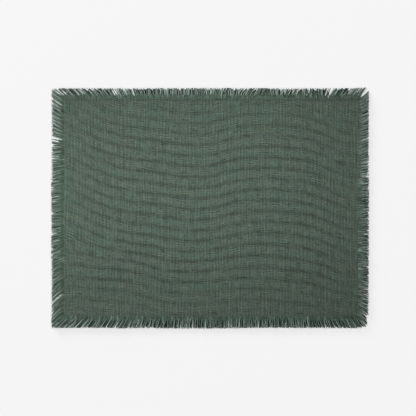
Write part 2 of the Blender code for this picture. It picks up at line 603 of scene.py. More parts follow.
class Spot(NamedTuple):
    """Sockets of a place on the cloth in mm: across, along, and along by its bowed weft."""

    x: Socket
    y: Socket
    weft: Socket


@dataclass(frozen=True)
class ClothFinish:
    """The woven cloth: weave, bowed weft bands, warp streaks, slubs and stitch grooves, with painted
    shade in the bands, the grooves and the gaps between the yarns.
    Drops, pitches and reaches are in mm, drifts in turns, and depths in shares of the tone."""

    effects: Effects
    matte: Matte = Matte("woven sage cloth", 0.88, 0.12)
    bow: tuple[BowRow, ...] = (
        BowRow(0.00, -7.0, 15.0), BowRow(0.045, 1.5, 14.5), BowRow(0.11, 15.2, 17.0),
        BowRow(0.17, 24.5, 18.5), BowRow(0.235, 30.6, 22.8), BowRow(0.30, 33.5, 30.5),
        BowRow(0.36, 37.6, 37.0), BowRow(0.425, 41.0, 38.4), BowRow(0.49, 40.2, 36.3),
        BowRow(0.555, 33.4, 33.5), BowRow(0.62, 28.8, 31.4), BowRow(0.68, 27.7, 32.0),
        BowRow(0.75, 29.2, 35.6), BowRow(0.81, 32.2, 38.0), BowRow(0.875, 40.5, 45.0),
        BowRow(0.94, 52.5, 54.4), BowRow(1.00, 58.0, 60.0),
    )
    bow_left: float = 212.0
    bow_width: float = 428.0
    bow_range: float = 80.0
    bow_floor: float = 0.25
    bow_front: Ramp = Ramp(-100.0, -15.0, 1.0, 0.0)
    weave_bow: float = 0.12
    weft_numbers: float = 1000.5

    band_pitch: float = 15.5
    band_start: float = 8.95
    band_depth: float = 0.33
    band_narrowness: float = 2.4
    band_lightening: float = 0.33
    band_wander: Mottle = Mottle(38.0, 24.0, 5.0, 2.0)
    band_wander_reach: float = 2.5
    band_breaks: Mottle = Mottle(21.0, 8.0, 2.0, 3.0, Ramp(0.28, 0.62, 0.35, 1.35))
    band_ends: Ramp = Ramp(150.0, 212.0, 1.0, 0.45)
    band_borders: Ramp = Ramp(95.0, 160.0, 1.0, 0.4)

    drift: Mottle = Mottle(30.0, 140.0, 9.0, 1.0)
    reed_pitch: float = 4.39
    reed_drift: float = 2.2
    reed_depth: Mottle = Mottle(12.0, 17.0, 4.0, 2.0, Ramp(0.32, 0.66, 0.03, 0.23))
    rib_pitch: float = 3.3
    rib_drift: float = 3.0
    rib_depth: Mottle = Mottle(16.0, 9.0, 15.0, 2.0, Ramp(0.46, 0.66, 0.0, 0.36))
    uneven_warps: Mottle = Mottle(1.8, 26.0, 0.0, 3.0, Ramp(0.25, 0.75, 0.77, 1.23))
    dark_warps: Mottle = Mottle(1.4, 12.0, 12.0, 1.0, Ramp(0.24, 0.44, 0.7, 1.03))
    thin_wefts: Mottle = Mottle(15.0, 1.4, 3.0, 2.0, Ramp(0.26, 0.48, 0.46, 1.07))
    slubs: Mottle = Mottle(2.6, 2.2, 7.0, 2.0, Ramp(0.28, 0.74, 0.82, 1.18))

    groove_floor: float = 0.25
    groove_beat: float = 0.35
    gap_shade: Ramp = Ramp(0.0, 1.0, 1.0, 0.3)
    fibre_relief: float = 0.22
    bump_strength: float = 0.7
    bump_distance: float = 0.32

    def bow_curve(self, g: Graph, across: Socket, drops: Sequence[tuple[float, float]]) -> Number:
        """Curve the weft's drop across the mat.

        Args:
            g: The material's graph.
            across: Share of the way from the left edge to the right one.
            drops: Shares of that way, and the drop at each in mm.

        Returns:
            The drop in mm.
        """
        node = g.add("FloatCurve")
        points = node.mapping.curves[0].points
        heights = [(share, self.bow_floor + drop / self.bow_range) for share, drop in drops]
        points[0].location, points[-1].location = heights[0], heights[-1]
        for height in heights[1:-1]:
            points.new(*height)
        node.mapping.update()
        g.feed(node.inputs["Value"], across)
        return g.times(g.minus(node.outputs[0], self.bow_floor), self.bow_range)

    def bowed(self, g: Graph, x: Socket, y: Socket) -> Number:
        """Work out how far the weft hangs at a place.

        Args:
            g: The material's graph.
            x: Place across the mat.
            y: Place from front to back.

        Returns:
            The drop in mm.
        """
        across = g.value("DIVIDE", g.plus(x, self.bow_left), self.bow_width, clamp=True)
        front_part = g.ramp(y, self.bow_front)
        back = self.bow_curve(g, across, [(row.share, row.back_drop) for row in self.bow])
        front = self.bow_curve(g, across, [(row.share, row.front_drop) for row in self.bow])
        return g.plus(g.times(back, g.minus(1.0, front_part)), g.times(front, front_part))

    def painted_band_shade(self, g: Graph, spot: Spot) -> Socket:
        """Darken the bowed bands with painted shade, for the shallow ridges where the weft was beaten
        closer and looser.

        Args:
            g: The material's graph.
            spot: The place on the cloth.

        Returns:
            The socket of the tone.
        """
        wander = g.minus(g.mottle(spot.x, spot.y, self.band_wander), 0.5)
        place = g.plus(spot.weft, g.times(wander, self.band_wander_reach))
        turns = g.over(g.minus(place, self.band_start), self.band_pitch)
        swing = g.value("COSINE", g.times(turns, TURN))
        narrow = g.value("POWER", g.times(g.plus(swing, 1.0), 0.5), self.band_narrowness)
        fade = g.times(
            g.ramp(g.value("ABSOLUTE", spot.x), self.band_ends),
            g.ramp(g.value("ABSOLUTE", spot.y), self.band_borders),
            g.mottle(spot.x, spot.weft, self.band_breaks),
        )
        # Painted shade: each band darkens the cloth's colour by its depth.
        depth = g.times(g.times(narrow, fade), self.band_depth)
        return g.minus(1.0 + self.band_depth * self.band_lightening, depth)

    def streaks(self, g: Graph, spot: Spot) -> Number:
        """Shade the uneven warp yarns, reed marks, ribs, thin weft yarns and slubs.

        Args:
            g: The material's graph.
            spot: The place on the cloth.

        Returns:
            The tone.
        """
        drift = g.mottle(spot.x, spot.y, self.drift)
        marks = []
        for place, pitch, share, depth in (
            (spot.x, self.reed_pitch, self.reed_drift, self.reed_depth),
            (spot.weft, self.rib_pitch, self.rib_drift, self.rib_depth),
        ):
            turns = g.plus(g.over(place, pitch), g.times(drift, share))
            swing = g.value("SINE", g.times(turns, TURN))
            marks.append(g.plus(g.times(swing, g.mottle(spot.x, spot.y, depth)), 1.0))
        return g.times(
            g.mottle(spot.x, spot.y, self.uneven_warps), *marks,
            g.mottle(spot.x, spot.weft, self.thin_wefts),
            g.mottle(spot.x, spot.y, self.dark_warps),
            g.mottle(spot.x, spot.weft, self.slubs),
        )

    def stitch_groove_shade(self, g: Graph, spot: Spot, lines: Sequence[StitchLine]) -> Number:
        """Darken the cloth with painted shade in the groove where each row of stitches draws it in.

        Args:
            g: The material's graph.
            spot: The place on the cloth.
            lines: The rows of stitches.

        Returns:
            The tone.
        """
        tones = []
        for line in lines:
            across, along = (spot.x, spot.y) if line.upright else (spot.y, spot.x)
            off = g.value("ABSOLUTE", g.minus(across, line.place))
            # Painted shade in the groove, deepest at each stitch.
            near = g.ramp(off, Ramp(self.groove_floor, line.groove_width, 1.0, 0.0))
            beat = g.value("SINE", g.times(along, TURN / line.pitch))
            deep = g.plus(g.times(beat, line.groove_depth * self.groove_beat), line.groove_depth)
            tones.append(g.minus(1.0, g.times(near, deep)))
        return g.times(*tones)

    def build(self, lines: Sequence[StitchLine]) -> bpy.types.Material:
        """Make the cloth's material.

        Args:
            lines: The rows of stitches that draw the cloth in.

        Returns:
            The material.
        """
        material, g, shader = self.matte.start()
        position = g.spot()
        x, y = g.parts(position)
        drop = self.bowed(g, x, y)
        spot = Spot(x, y, g.plus(y, drop))
        row = g.plus(y, g.times(drop, self.weave_bow))

        weave = g.group(self.effects.weave, X=x, Y=row)
        yarns = []
        for along, around, number in (
            (y, g.over(x, WARP_PITCH), weave.outputs["Warp"]),
            (x, g.over(row, WEFT_PITCH), g.plus(weave.outputs["Weft"], self.weft_numbers)),
        ):
            chance = g.chance(number)
            fibre = g.group(self.effects.fibre, Along=along, Around=around, Chance=chance)
            dye = g.group(self.effects.dye, Position=position, Chance=chance)
            yarns.append((dye.outputs["Color"], fibre.outputs["Shade"], fibre.outputs["Height"]))
        weft_on_top = weave.outputs["Weft On Top"]
        (warp_color, *warp), (weft_color, *weft) = yarns
        color = g.mix(weft_on_top, warp_color, weft_color)
        shade, height = (g.choose(weft_on_top, *pair) for pair in zip(warp, weft))

        # Painted shade: the bands, the stitch grooves, the gaps between yarns and the twist grooves
        # darken the dye here.
        tone = g.times(
            self.painted_band_shade(g, spot), self.streaks(g, spot), self.stitch_groove_shade(g, spot, lines),
            g.ramp(weave.outputs["Gap"], self.gap_shade), shade,
        )
        g.feed(shader.inputs["Base Color"], g.shade(color, tone))
        relief = g.plus(weave.outputs["Height"], g.times(height, self.fibre_relief))
        normal = g.bump(relief, self.bump_strength, self.bump_distance)
        g.feed(shader.inputs["Normal"], normal)
        return material


@dataclass(frozen=True)
class YarnFinish:
    """Loose spun yarn of the fringe, or sewing thread: dyed, twisted and fuzzy."""

    effects: Effects
    matte: Matte
    tint: float
    bump_distance: float
    bump_strength: float = 0.6
    hue: Color = (0.828, 1.0, 0.935)
    painted_sheen_grey: Color = (0.104, 0.13, 0.118)
    painted_sheen_ramp: Ramp = Ramp(0.9, 2.6, 0.0, 0.9)

    def build(self) -> bpy.types.Material:
        """Make the yarn's material, which reads each yarn's own tone and chance.

        Returns:
            The material.
        """
        material, g, shader = self.matte.start()
        around, along = g.parts(g.add("UVMap", uv_map="yarn").outputs["UV"])
        tone, chance = (
            g.add("Attribute", attribute_type="GEOMETRY", attribute_name=name).outputs["Fac"]
            for name in ("tone", "chance")
        )
        fibre = g.group(self.effects.fibre, Along=along, Around=around, Chance=chance)
        dye = g.group(self.effects.dye, Position=g.spot(), Chance=chance)
        color = g.mix(1.0, dye.outputs["Color"], self.hue, "MULTIPLY")
        # Painted sheen: where the painted light makes a yarn brightest, its colour turns greyer.
        color = g.mix(g.ramp(tone, self.painted_sheen_ramp), color, self.painted_sheen_grey)
        amount = g.times(tone, fibre.outputs["Shade"], self.tint)
        g.feed(shader.inputs["Base Color"], g.shade(color, amount))
        normal = g.bump(fibre.outputs["Height"], self.bump_strength, self.bump_distance)
        g.feed(shader.inputs["Normal"], normal)
        return material


def unwrap(mesh: bpy.types.Mesh, name: str, places: Array) -> None:
    """Give a mesh a named map, with a place for each corner of its faces."""
    mesh.uv_layers.new(name=name).data.foreach_set("uv", places.astype(np.float32).reshape(-1))


def stand(mesh: bpy.types.Mesh, material: bpy.types.Material) -> bpy.types.Object:
    """Smooth a mesh and stand it in the scene with its finish.

    Args:
        mesh: The mesh, which also names the object.
        material: Its finish.

    Returns:
        The object.
    """
    mesh.polygons.foreach_set("use_smooth", np.ones(len(mesh.polygons), bool))
    mesh.materials.append(material)
    mesh.update()
    obj = bpy.data.objects.new(mesh.name, mesh)
    bpy.context.scene.collection.objects.link(obj)
    return obj


@dataclass(frozen=True)
class Yarns:
    """A batch of yarns: centre lines in mm, of shape (yarns, sections, 3), a radius and a
    tone at each section, and one steady random number for each yarn."""

    paths: Array
    radii: Array
    tones: Array
    chance: Array


@dataclass
class SweptYarns:
    """Gathers yarns swept along their paths, and joins them into one mesh. On the baked
    picture every yarn has a cell of its own."""

    name: str
    atlas_columns: int = 16
    end_margin: float = 0.04
    end_span: float = 0.92
    side_margin: float = 0.08
    side_span: float = 0.84
    points: list[Array] = field(default_factory=list)
    faces: list[tuple[int, ...]] = field(default_factory=list)
    uv: list[Array] = field(default_factory=list)
    bake_uv: list[Array] = field(default_factory=list)
    tone: list[Array] = field(default_factory=list)
    chance: list[Array] = field(default_factory=list)
    vertex_count: int = 0
    yarn_count: int = 0

    def rings(self, yarns: Yarns, sides: int, flat: float) -> Array:
        """Draw the round of every yarn at every section.

        Args:
            yarns: The yarns.
            sides: Number of sides of a yarn.
            flat: Height of a yarn as a share of its width.

        Returns:
            Points in mm, of shape (yarns, sections, sides, 3).
        """
        run = np.gradient(yarns.paths, axis=1)
        run /= np.linalg.norm(run, axis=2, keepdims=True) + TINY
        aside = np.cross(run, np.array([0.0, 0.0, 1.0]))
        aside /= np.linalg.norm(aside, axis=2, keepdims=True) + TINY
        up = np.cross(aside, run)
        turns = (np.arange(sides) / sides * TURN)[:, None]
        ring = aside[:, :, None] * np.cos(turns) + up[:, :, None] * np.sin(turns) * flat
        return yarns.paths[:, :, None] + ring * yarns.radii[:, :, None, None]

    def cover(self, faces: Array, yarn: Array, along: Array, length: Array, around: Array) -> None:
        """Add faces, with their places on the yarns and on the baked picture.

        Args:
            faces: Vertex numbers, with one more axis for the corners of a face.
            yarn: Number of each face's yarn within its batch.
            along: Place of each corner along its yarn.
            length: Length of its yarn.
            around: Its place around the yarn, in turns.
        """
        number = self.yarn_count + yarn
        column, row = number % self.atlas_columns, number // self.atlas_columns
        lengthwise = column + self.end_margin + self.end_span * along / length
        crosswise = row + self.side_margin + self.side_span * around
        for places, pair in ((self.uv, (around, along)), (self.bake_uv, (lengthwise, crosswise))):
            spread = [np.broadcast_to(values, faces.shape) for values in pair]
            places.append(np.stack(spread, axis=-1).reshape(-1, 2))
        self.faces.extend(map(tuple, faces.reshape(-1, faces.shape[-1]).tolist()))

    def add(self, yarns: Yarns, sides: int, flat: float = 0.85) -> None:
        """Sweep a batch of yarns, with a cap at each end.

        Args:
            yarns: The yarns.
            sides: Number of sides of a yarn.
            flat: Height of a yarn as a share of its width.
        """
        count, sections = yarns.radii.shape
        steps = np.linalg.norm(np.diff(yarns.paths, axis=1), axis=2)
        along = np.concatenate([np.zeros((count, 1)), np.cumsum(steps, axis=1)], axis=1)
        yarn = np.arange(count)[:, None, None, None]
        section = np.arange(sections - 1)[:, None, None] + np.array([0, 0, 1, 1])
        side = np.arange(sides)[:, None] + np.array([0, 1, 1, 0])
        walls = self.vertex_count + (yarn * sections + section) * sides + side % sides
        self.cover(walls, yarn, along[yarn, section], along[yarn, -1], side / sides)
        yarn, ring = np.arange(count)[:, None], np.arange(sides)
        for end, turned in ((0, ring[::-1]), (sections - 1, ring)):
            cap = self.vertex_count + (yarn * sections + end) * sides + turned
            self.cover(cap, yarn, along[:, end, None], along[:, -1, None], ring / sides)
        self.points.append(self.rings(yarns, sides, flat).reshape(-1, 3))
        self.tone.append(np.repeat(yarns.tones.reshape(-1), sides))
        self.chance.append(np.repeat(yarns.chance, sections * sides))
        self.vertex_count += count * sections * sides
        self.yarn_count += count

    def build(self, material: bpy.types.Material) -> bpy.types.Object:
        """Join the yarns into one object.

        Args:
            material: The yarns' material.

        Returns:
            The object, linked to the scene.
        """
        mesh = bpy.data.meshes.new(self.name)
        mesh.from_pydata(np.concatenate(self.points) * MM, [], self.faces)
        for label, values in (("tone", self.tone), ("chance", self.chance)):
            layer = mesh.attributes.new(label, "FLOAT", "POINT")
            layer.data.foreach_set("value", np.concatenate(values).astype(np.float32))
        cells = np.array([self.atlas_columns, self.yarn_count // self.atlas_columns + 1])
        unwrap(mesh, "yarn", np.concatenate(self.uv))
        unwrap(mesh, "OFBake", np.concatenate(self.bake_uv) / cells)
        return stand(mesh, material)


@dataclass(frozen=True)
class FringeLook:
    """How the yarns of one side look: their tones, with painted light on the upper yarns and painted
    shade on the lower ones, their reach and their clumps.
    """

    upper_lit_tone: float
    lower_shaded_tone: float
    root_tone: float
    reach: float
    ragged: float
    clump_width: float
    gather: float
    contrast: float
    lit_and_shaded_swing: float
    painted_tip_light: float
    stray_light: float


@dataclass(frozen=True)
class Row:
    """A place along a side: how its yarns lean and end short of the outline, how light
    they are beside the rest of the side, and which share of the lower ones leaves a hole."""

    share: float
    lean_degrees: float
    trim: float
    light: float
    open: float


@dataclass(frozen=True)
class Corner:
    """A corner of the outline: its round, and where the two fringes part at the tips."""

    round: float
    parting_x: float
    parting_y: float


BACK_LEFT = Corner(6.0, -HALF_WIDTH, HALF_DEPTH)
BACK_RIGHT = Corner(6.0, 224.6, HALF_DEPTH)
FRONT_LEFT = Corner(4.0, -HALF_WIDTH, -HALF_DEPTH)
FRONT_RIGHT = Corner(7.0, HALF_WIDTH, -HALF_DEPTH)


@dataclass(frozen=True)
class Side:
    """One side of the mat. Places along it run from its low end to its high end."""

    name: str
    node: str
    along: Pair
    outward: Pair
    ends: Pair
    root: float
    half_along: float
    half_outward: float
    corners: tuple[Corner, Corner]
    yarn_pitch: float
    cross_pitch: float
    look: FringeLook
    rows: tuple[Row, ...]

    @property
    def length(self) -> float:
        """Give the length of the fringe, from its roots to the outline."""
        return self.half_outward - self.root

    def corner_slope(self, end: int) -> float:
        """Slope the line that parts this fringe from its neighbour.

        Args:
            end: The low end, 0, or the high end, 1.

        Returns:
            How far the line runs along the side for each unit that it runs out.
        """
        corner = self.corners[end]
        place = corner.parting_x * self.along[0] + corner.parting_y * self.along[1]
        out = corner.parting_x * self.outward[0] + corner.parting_y * self.outward[1]
        return (place - self.ends[end]) / (out - self.root)

    def slope_at(self, share: Array) -> Array:
        """Slope the yarns at shares of the side.

        Args:
            share: Places along the side, from 0 to 1.

        Returns:
            How far a yarn runs along the side for each unit that it runs out.
        """
        low, high = (math.degrees(math.atan(self.corner_slope(end))) for end in (0, 1))
        shares = [0.0, *(row.share for row in self.rows), 1.0]
        leans = [low, *(row.lean_degrees for row in self.rows), high]
        return np.tan(np.radians(np.interp(share, shares, leans)))

    def read(self, trait: Trait, share: Array) -> Array:
        """Read a trait of the yarns at shares of the side.

        Args:
            trait: The trait.
            share: Places along the side, from 0 to 1.

        Returns:
            Its value at each place.
        """
        shares = [row.share for row in self.rows]
        return np.interp(share, shares, [getattr(row, trait.value) for row in self.rows])

    def beyond_outline(self, place: Array, out: Array) -> Array:
        """Measure how far points lie beyond the rounded outline; inside it, below 0.

        Args:
            place: Places along the side.
            out: Distances out from the roots.

        Returns:
            Distances from the outline.
        """
        corner_round = np.where(place < 0, self.corners[0].round, self.corners[1].round)
        past_along = np.abs(place) - self.half_along + corner_round
        past_out = out - self.length + corner_round
        outside = np.hypot(np.maximum(past_along, 0), np.maximum(past_out, 0))
        return outside + np.minimum(np.maximum(past_along, past_out), 0) - corner_round

    def to_mat(self, place: Array, out: Array, height: Array) -> Array:
        """Turn places along and out from the roots into points of the mat.

        Args:
            place: Places along the side.
            out: Distances out from the roots.
            height: Heights over the table.

        Returns:
            Points in mm, with one more axis for X, Y and Z.
        """
        far = self.root + out
        x, y = (place * self.along[axis] + far * self.outward[axis] for axis in (0, 1))
        return np.stack([x, y, height], axis=-1)


BACK = Side(
    name="back", node="fringe_back", along=(1, 0), outward=(0, 1),
    ends=(-ROOT_LEFT, ROOT_RIGHT), root=ROOT_BACK,
    half_along=HALF_WIDTH, half_outward=HALF_DEPTH, corners=(BACK_LEFT, BACK_RIGHT),
    yarn_pitch=WARP_PITCH, cross_pitch=WEFT_PITCH,
    look=FringeLook(
        upper_lit_tone=2.35, lower_shaded_tone=0.15, root_tone=1.06, reach=0.45, ragged=2.2, clump_width=2.8,
        gather=0.35, contrast=0.48, lit_and_shaded_swing=0.45, painted_tip_light=0.0, stray_light=0.35,
    ),
    rows=(
        Row(0.01, -44.5, 0.7, 1.0, 0.75), Row(0.035, -44.0, 0.8, 1.05, 0.6),
        Row(0.05, -43.0, 0.9, 0.9, 0.2), Row(0.068, -42.5, 0.8, 1.0, 0.5),
        Row(0.085, -42.0, 0.8, 0.8, 0.1), Row(0.11, -40.5, 0.8, 0.95, 0.0),
        Row(0.128, -39.0, 0.8, 1.2, 0.4), Row(0.148, -37.0, 0.7, 0.9, 0.0),
        Row(0.17, -32.0, 0.7, 0.9, 0.1), Row(0.188, -28.0, 0.8, 1.15, 0.55),
        Row(0.2, -25.0, 0.7, 1.0, 0.15), Row(0.214, -22.0, 0.9, 1.3, 0.6),
        Row(0.228, -18.0, 0.9, 1.2, 0.5), Row(0.25, -14.0, 0.7, 0.9, 0.0),
        Row(0.29, -3.0, 0.8, 0.95, 0.0), Row(0.37, -1.5, 0.5, 1.28, 0.0),
        Row(0.42, -0.5, 0.3, 1.0, 0.0), Row(0.46, 0.0, 0.2, 1.18, 0.0),
        Row(0.52, 3.0, 0.3, 0.95, 0.0), Row(0.57, 6.0, 0.3, 1.1, 0.0),
        Row(0.61, 34.0, 0.7, 1.2, 0.0), Row(0.65, 34.0, 0.7, 1.0, 0.0),
        Row(0.67, 20.0, 0.8, 0.7, 0.0), Row(0.7, 2.0, 0.8, 0.9, 0.0),
        Row(0.73, 10.0, 0.9, 1.15, 0.05), Row(0.757, 28.0, 1.0, 1.15, 0.3),
        Row(0.785, 30.0, 1.2, 0.95, 0.55), Row(0.812, 16.0, 1.1, 0.8, 0.25),
        Row(0.84, 0.0, 1.0, 0.75, 0.0), Row(0.88, 14.0, 0.8, 0.95, 0.05),
        Row(0.902, 30.0, 0.8, 1.15, 0.4), Row(0.915, 34.0, 0.8, 1.0, 0.05),
        Row(0.93, 36.0, 0.7, 1.1, 0.3), Row(0.957, 37.0, 0.5, 1.05, 0.3),
        Row(0.985, 40.0, 0.1, 1.2, 0.5),
    ),
)
FRONT = Side(
    name="front", node="fringe_front", along=(1, 0), outward=(0, -1),
    ends=(-ROOT_LEFT, ROOT_RIGHT), root=ROOT_FRONT,
    half_along=HALF_WIDTH, half_outward=HALF_DEPTH, corners=(FRONT_LEFT, FRONT_RIGHT),
    yarn_pitch=WARP_PITCH, cross_pitch=WEFT_PITCH,
    look=FringeLook(
        upper_lit_tone=1.95, lower_shaded_tone=0.2, root_tone=1.03, reach=-0.6, ragged=0.9, clump_width=2.75,
        gather=0.3, contrast=0.3, lit_and_shaded_swing=0.4, painted_tip_light=0.85, stray_light=0.3,
    ),
    rows=(
        Row(0.04, -46.0, 1.1, 1.15, 0.0), Row(0.09, -42.0, 1.3, 0.97, 0.0),
        Row(0.14, -33.0, 1.3, 1.0, 0.0), Row(0.17, -31.0, 1.0, 0.84, 0.0),
        Row(0.21, -30.0, 0.6, 1.05, 0.0), Row(0.25, -20.0, 0.8, 0.97, 0.0),
        Row(0.29, -13.0, 0.9, 1.2, 0.0), Row(0.36, -8.0, 0.5, 1.08, 0.0),
        Row(0.42, -4.0, 0.3, 0.93, 0.0), Row(0.49, 0.0, 0.1, 1.0, 0.0),
        Row(0.54, 1.0, 0.4, 0.95, 0.0), Row(0.6, 2.0, 0.9, 1.2, 0.0),
        Row(0.67, 3.0, 1.1, 0.9, 0.0), Row(0.74, 5.0, 1.2, 0.93, 0.0),
        Row(0.8, 6.0, 1.2, 1.1, 0.0), Row(0.835, 10.0, 1.1, 0.82, 0.0),
        Row(0.89, 22.0, 0.9, 0.9, 0.0), Row(0.955, 27.0, 0.7, 1.1, 0.0),
        Row(0.978, 33.0, 1.2, 1.0, 0.0), Row(0.99, 36.5, 2.5, 1.0, 0.0),
    ),
)
LEFT = Side(
    name="left", node="fringe_left", along=(0, 1), outward=(-1, 0),
    ends=(-ROOT_FRONT, ROOT_BACK), root=ROOT_LEFT,
    half_along=HALF_DEPTH, half_outward=HALF_WIDTH, corners=(FRONT_LEFT, BACK_LEFT),
    yarn_pitch=WEFT_PITCH, cross_pitch=WARP_PITCH,
    look=FringeLook(
        upper_lit_tone=1.9, lower_shaded_tone=0.43, root_tone=1.04, reach=0.72, ragged=1.4, clump_width=2.5,
        gather=1.0, contrast=0.12, lit_and_shaded_swing=0.2, painted_tip_light=0.55, stray_light=0.2,
    ),
    rows=(
        Row(0.02, -43.0, 0.9, 0.76, 0.0), Row(0.05, -43.0, 0.9, 0.82, 0.0),
        Row(0.083, -42.0, 1.0, 0.72, 0.05), Row(0.125, -41.0, 1.1, 1.25, 0.2),
        Row(0.165, -39.0, 1.2, 0.85, 0.0), Row(0.208, -35.0, 1.1, 0.98, 0.1),
        Row(0.25, -29.0, 1.0, 0.86, 0.03), Row(0.33, -18.0, 0.2, 0.93, 0.0),
        Row(0.38, -12.0, 0.5, 1.1, 0.0), Row(0.42, -8.0, 0.7, 0.97, 0.0),
        Row(0.5, -8.0, 0.5, 0.96, 0.0), Row(0.6, -8.0, 0.2, 0.98, 0.0),
        Row(0.67, -12.0, 0.6, 1.07, 0.0), Row(0.71, -4.0, 0.8, 0.99, 0.0),
        Row(0.76, 4.0, 1.0, 1.13, 0.05), Row(0.8, 14.0, 1.2, 1.2, 0.15),
        Row(0.85, 27.0, 1.4, 1.15, 0.07), Row(0.88, 30.0, 1.3, 1.23, 0.07),
        Row(0.917, 34.0, 1.2, 1.21, 0.25), Row(0.95, 36.0, 1.1, 0.96, 0.07),
        Row(0.985, 38.0, 1.0, 1.1, 0.15),
    ),
)
RIGHT = Side(
    name="right", node="fringe_right", along=(0, 1), outward=(1, 0),
    ends=(-ROOT_FRONT, ROOT_BACK), root=ROOT_RIGHT,
    half_along=HALF_DEPTH, half_outward=HALF_WIDTH, corners=(FRONT_RIGHT, BACK_RIGHT),
    yarn_pitch=WEFT_PITCH, cross_pitch=WARP_PITCH,
    # The high root tone on this side is painted light on the held yarns at the root.
    look=FringeLook(
        upper_lit_tone=2.45, lower_shaded_tone=0.55, root_tone=1.62, reach=0.05, ragged=1.0, clump_width=2.5,
        gather=0.6, contrast=0.1, lit_and_shaded_swing=0.23, painted_tip_light=0.5, stray_light=0.0,
    ),
    rows=(
        Row(0.02, -43.0, 3.2, 0.9, 0.0), Row(0.03, -43.0, 5.6, 1.2, 1.0),
        Row(0.036, -29.0, 1.1, 1.15, 0.0), Row(0.09, -24.0, 1.0, 0.9, 0.0),
        Row(0.15, -9.0, 0.6, 0.88, 0.0), Row(0.21, -6.0, 0.6, 0.84, 0.0),
        Row(0.3, -3.0, 0.5, 0.94, 0.0), Row(0.37, 0.0, 0.4, 0.85, 0.0),
        Row(0.45, 3.0, 0.4, 0.97, 0.0), Row(0.52, 10.0, 0.1, 0.82, 0.0),
        Row(0.57, 5.0, 0.1, 0.88, 0.0), Row(0.63, 5.0, 0.4, 1.15, 0.0),
        Row(0.67, 9.0, 0.8, 1.25, 0.0), Row(0.715, 18.0, 0.85, 1.15, 0.0),
        Row(0.75, 24.0, 0.9, 0.92, 0.0), Row(0.8, 17.0, 0.7, 1.13, 0.0),
        Row(0.84, 19.0, 0.65, 1.2, 0.0), Row(0.88, 23.0, 0.6, 1.0, 0.0),
        Row(0.92, 27.0, 0.4, 1.1, 0.0), Row(0.95, 31.0, 0.2, 0.92, 0.0),
        Row(0.985, 33.0, 0.2, 1.0, 0.7),
    ),
)


@dataclass(frozen=True)
class Courses:
    """How a batch of loose yarns runs, seen from above, with one row to a yarn: where each
    leaves the cloth, its slope, its sway at the tip, its curl halfway, how far it is drawn
    to its clump, and how much straighter it starts than it ends."""

    side: Side
    place: Array
    slope: Array
    sway: Array
    curl: Array | float = 0.0
    drawn: Array | float = 0.0
    stiffness: float = 0.0

    def at(self, out: Array) -> Array:
        """Follow the yarns.

        Args:
            out: Distances out from the roots.

        Returns:
            Places along the side.
        """
        free = np.maximum(out, 0.0)
        part = free / self.side.length
        run = free * (1.0 - self.stiffness + self.stiffness * part)
        drawn = self.drawn * np.minimum(part / self.side.look.gather, 1.0)
        bend = self.sway * part**2 + self.curl * np.sin(math.pi * np.minimum(part, 1.0))
        return self.place + self.slope * run + drawn + bend

    def reach(self, short: Array, tries: int) -> Array:
        """Find how far out each yarn goes before it comes too near the outline.

        Args:
            short: How far from the outline it ends.
            tries: Number of distances that are tried.

        Returns:
            Distances out from the roots.
        """
        out = np.linspace(0.0, self.side.length + 1.0, tries)[None, :].repeat(len(self.place), 0)
        inside = self.side.beyond_outline(self.at(out), out) <= -short
        return np.where(inside, out, 0.0).max(axis=1, keepdims=True)


@dataclass(frozen=True)
class Starts:
    """Where the yarns of a layer leave the cloth: places along the side, the same as shares
    of it, slopes, clump numbers, middles of the clumps, and distances from a clump's edge."""

    place: Array
    share: Array
    lean: Array
    clump: Array
    middle: Array
    from_edge: Array


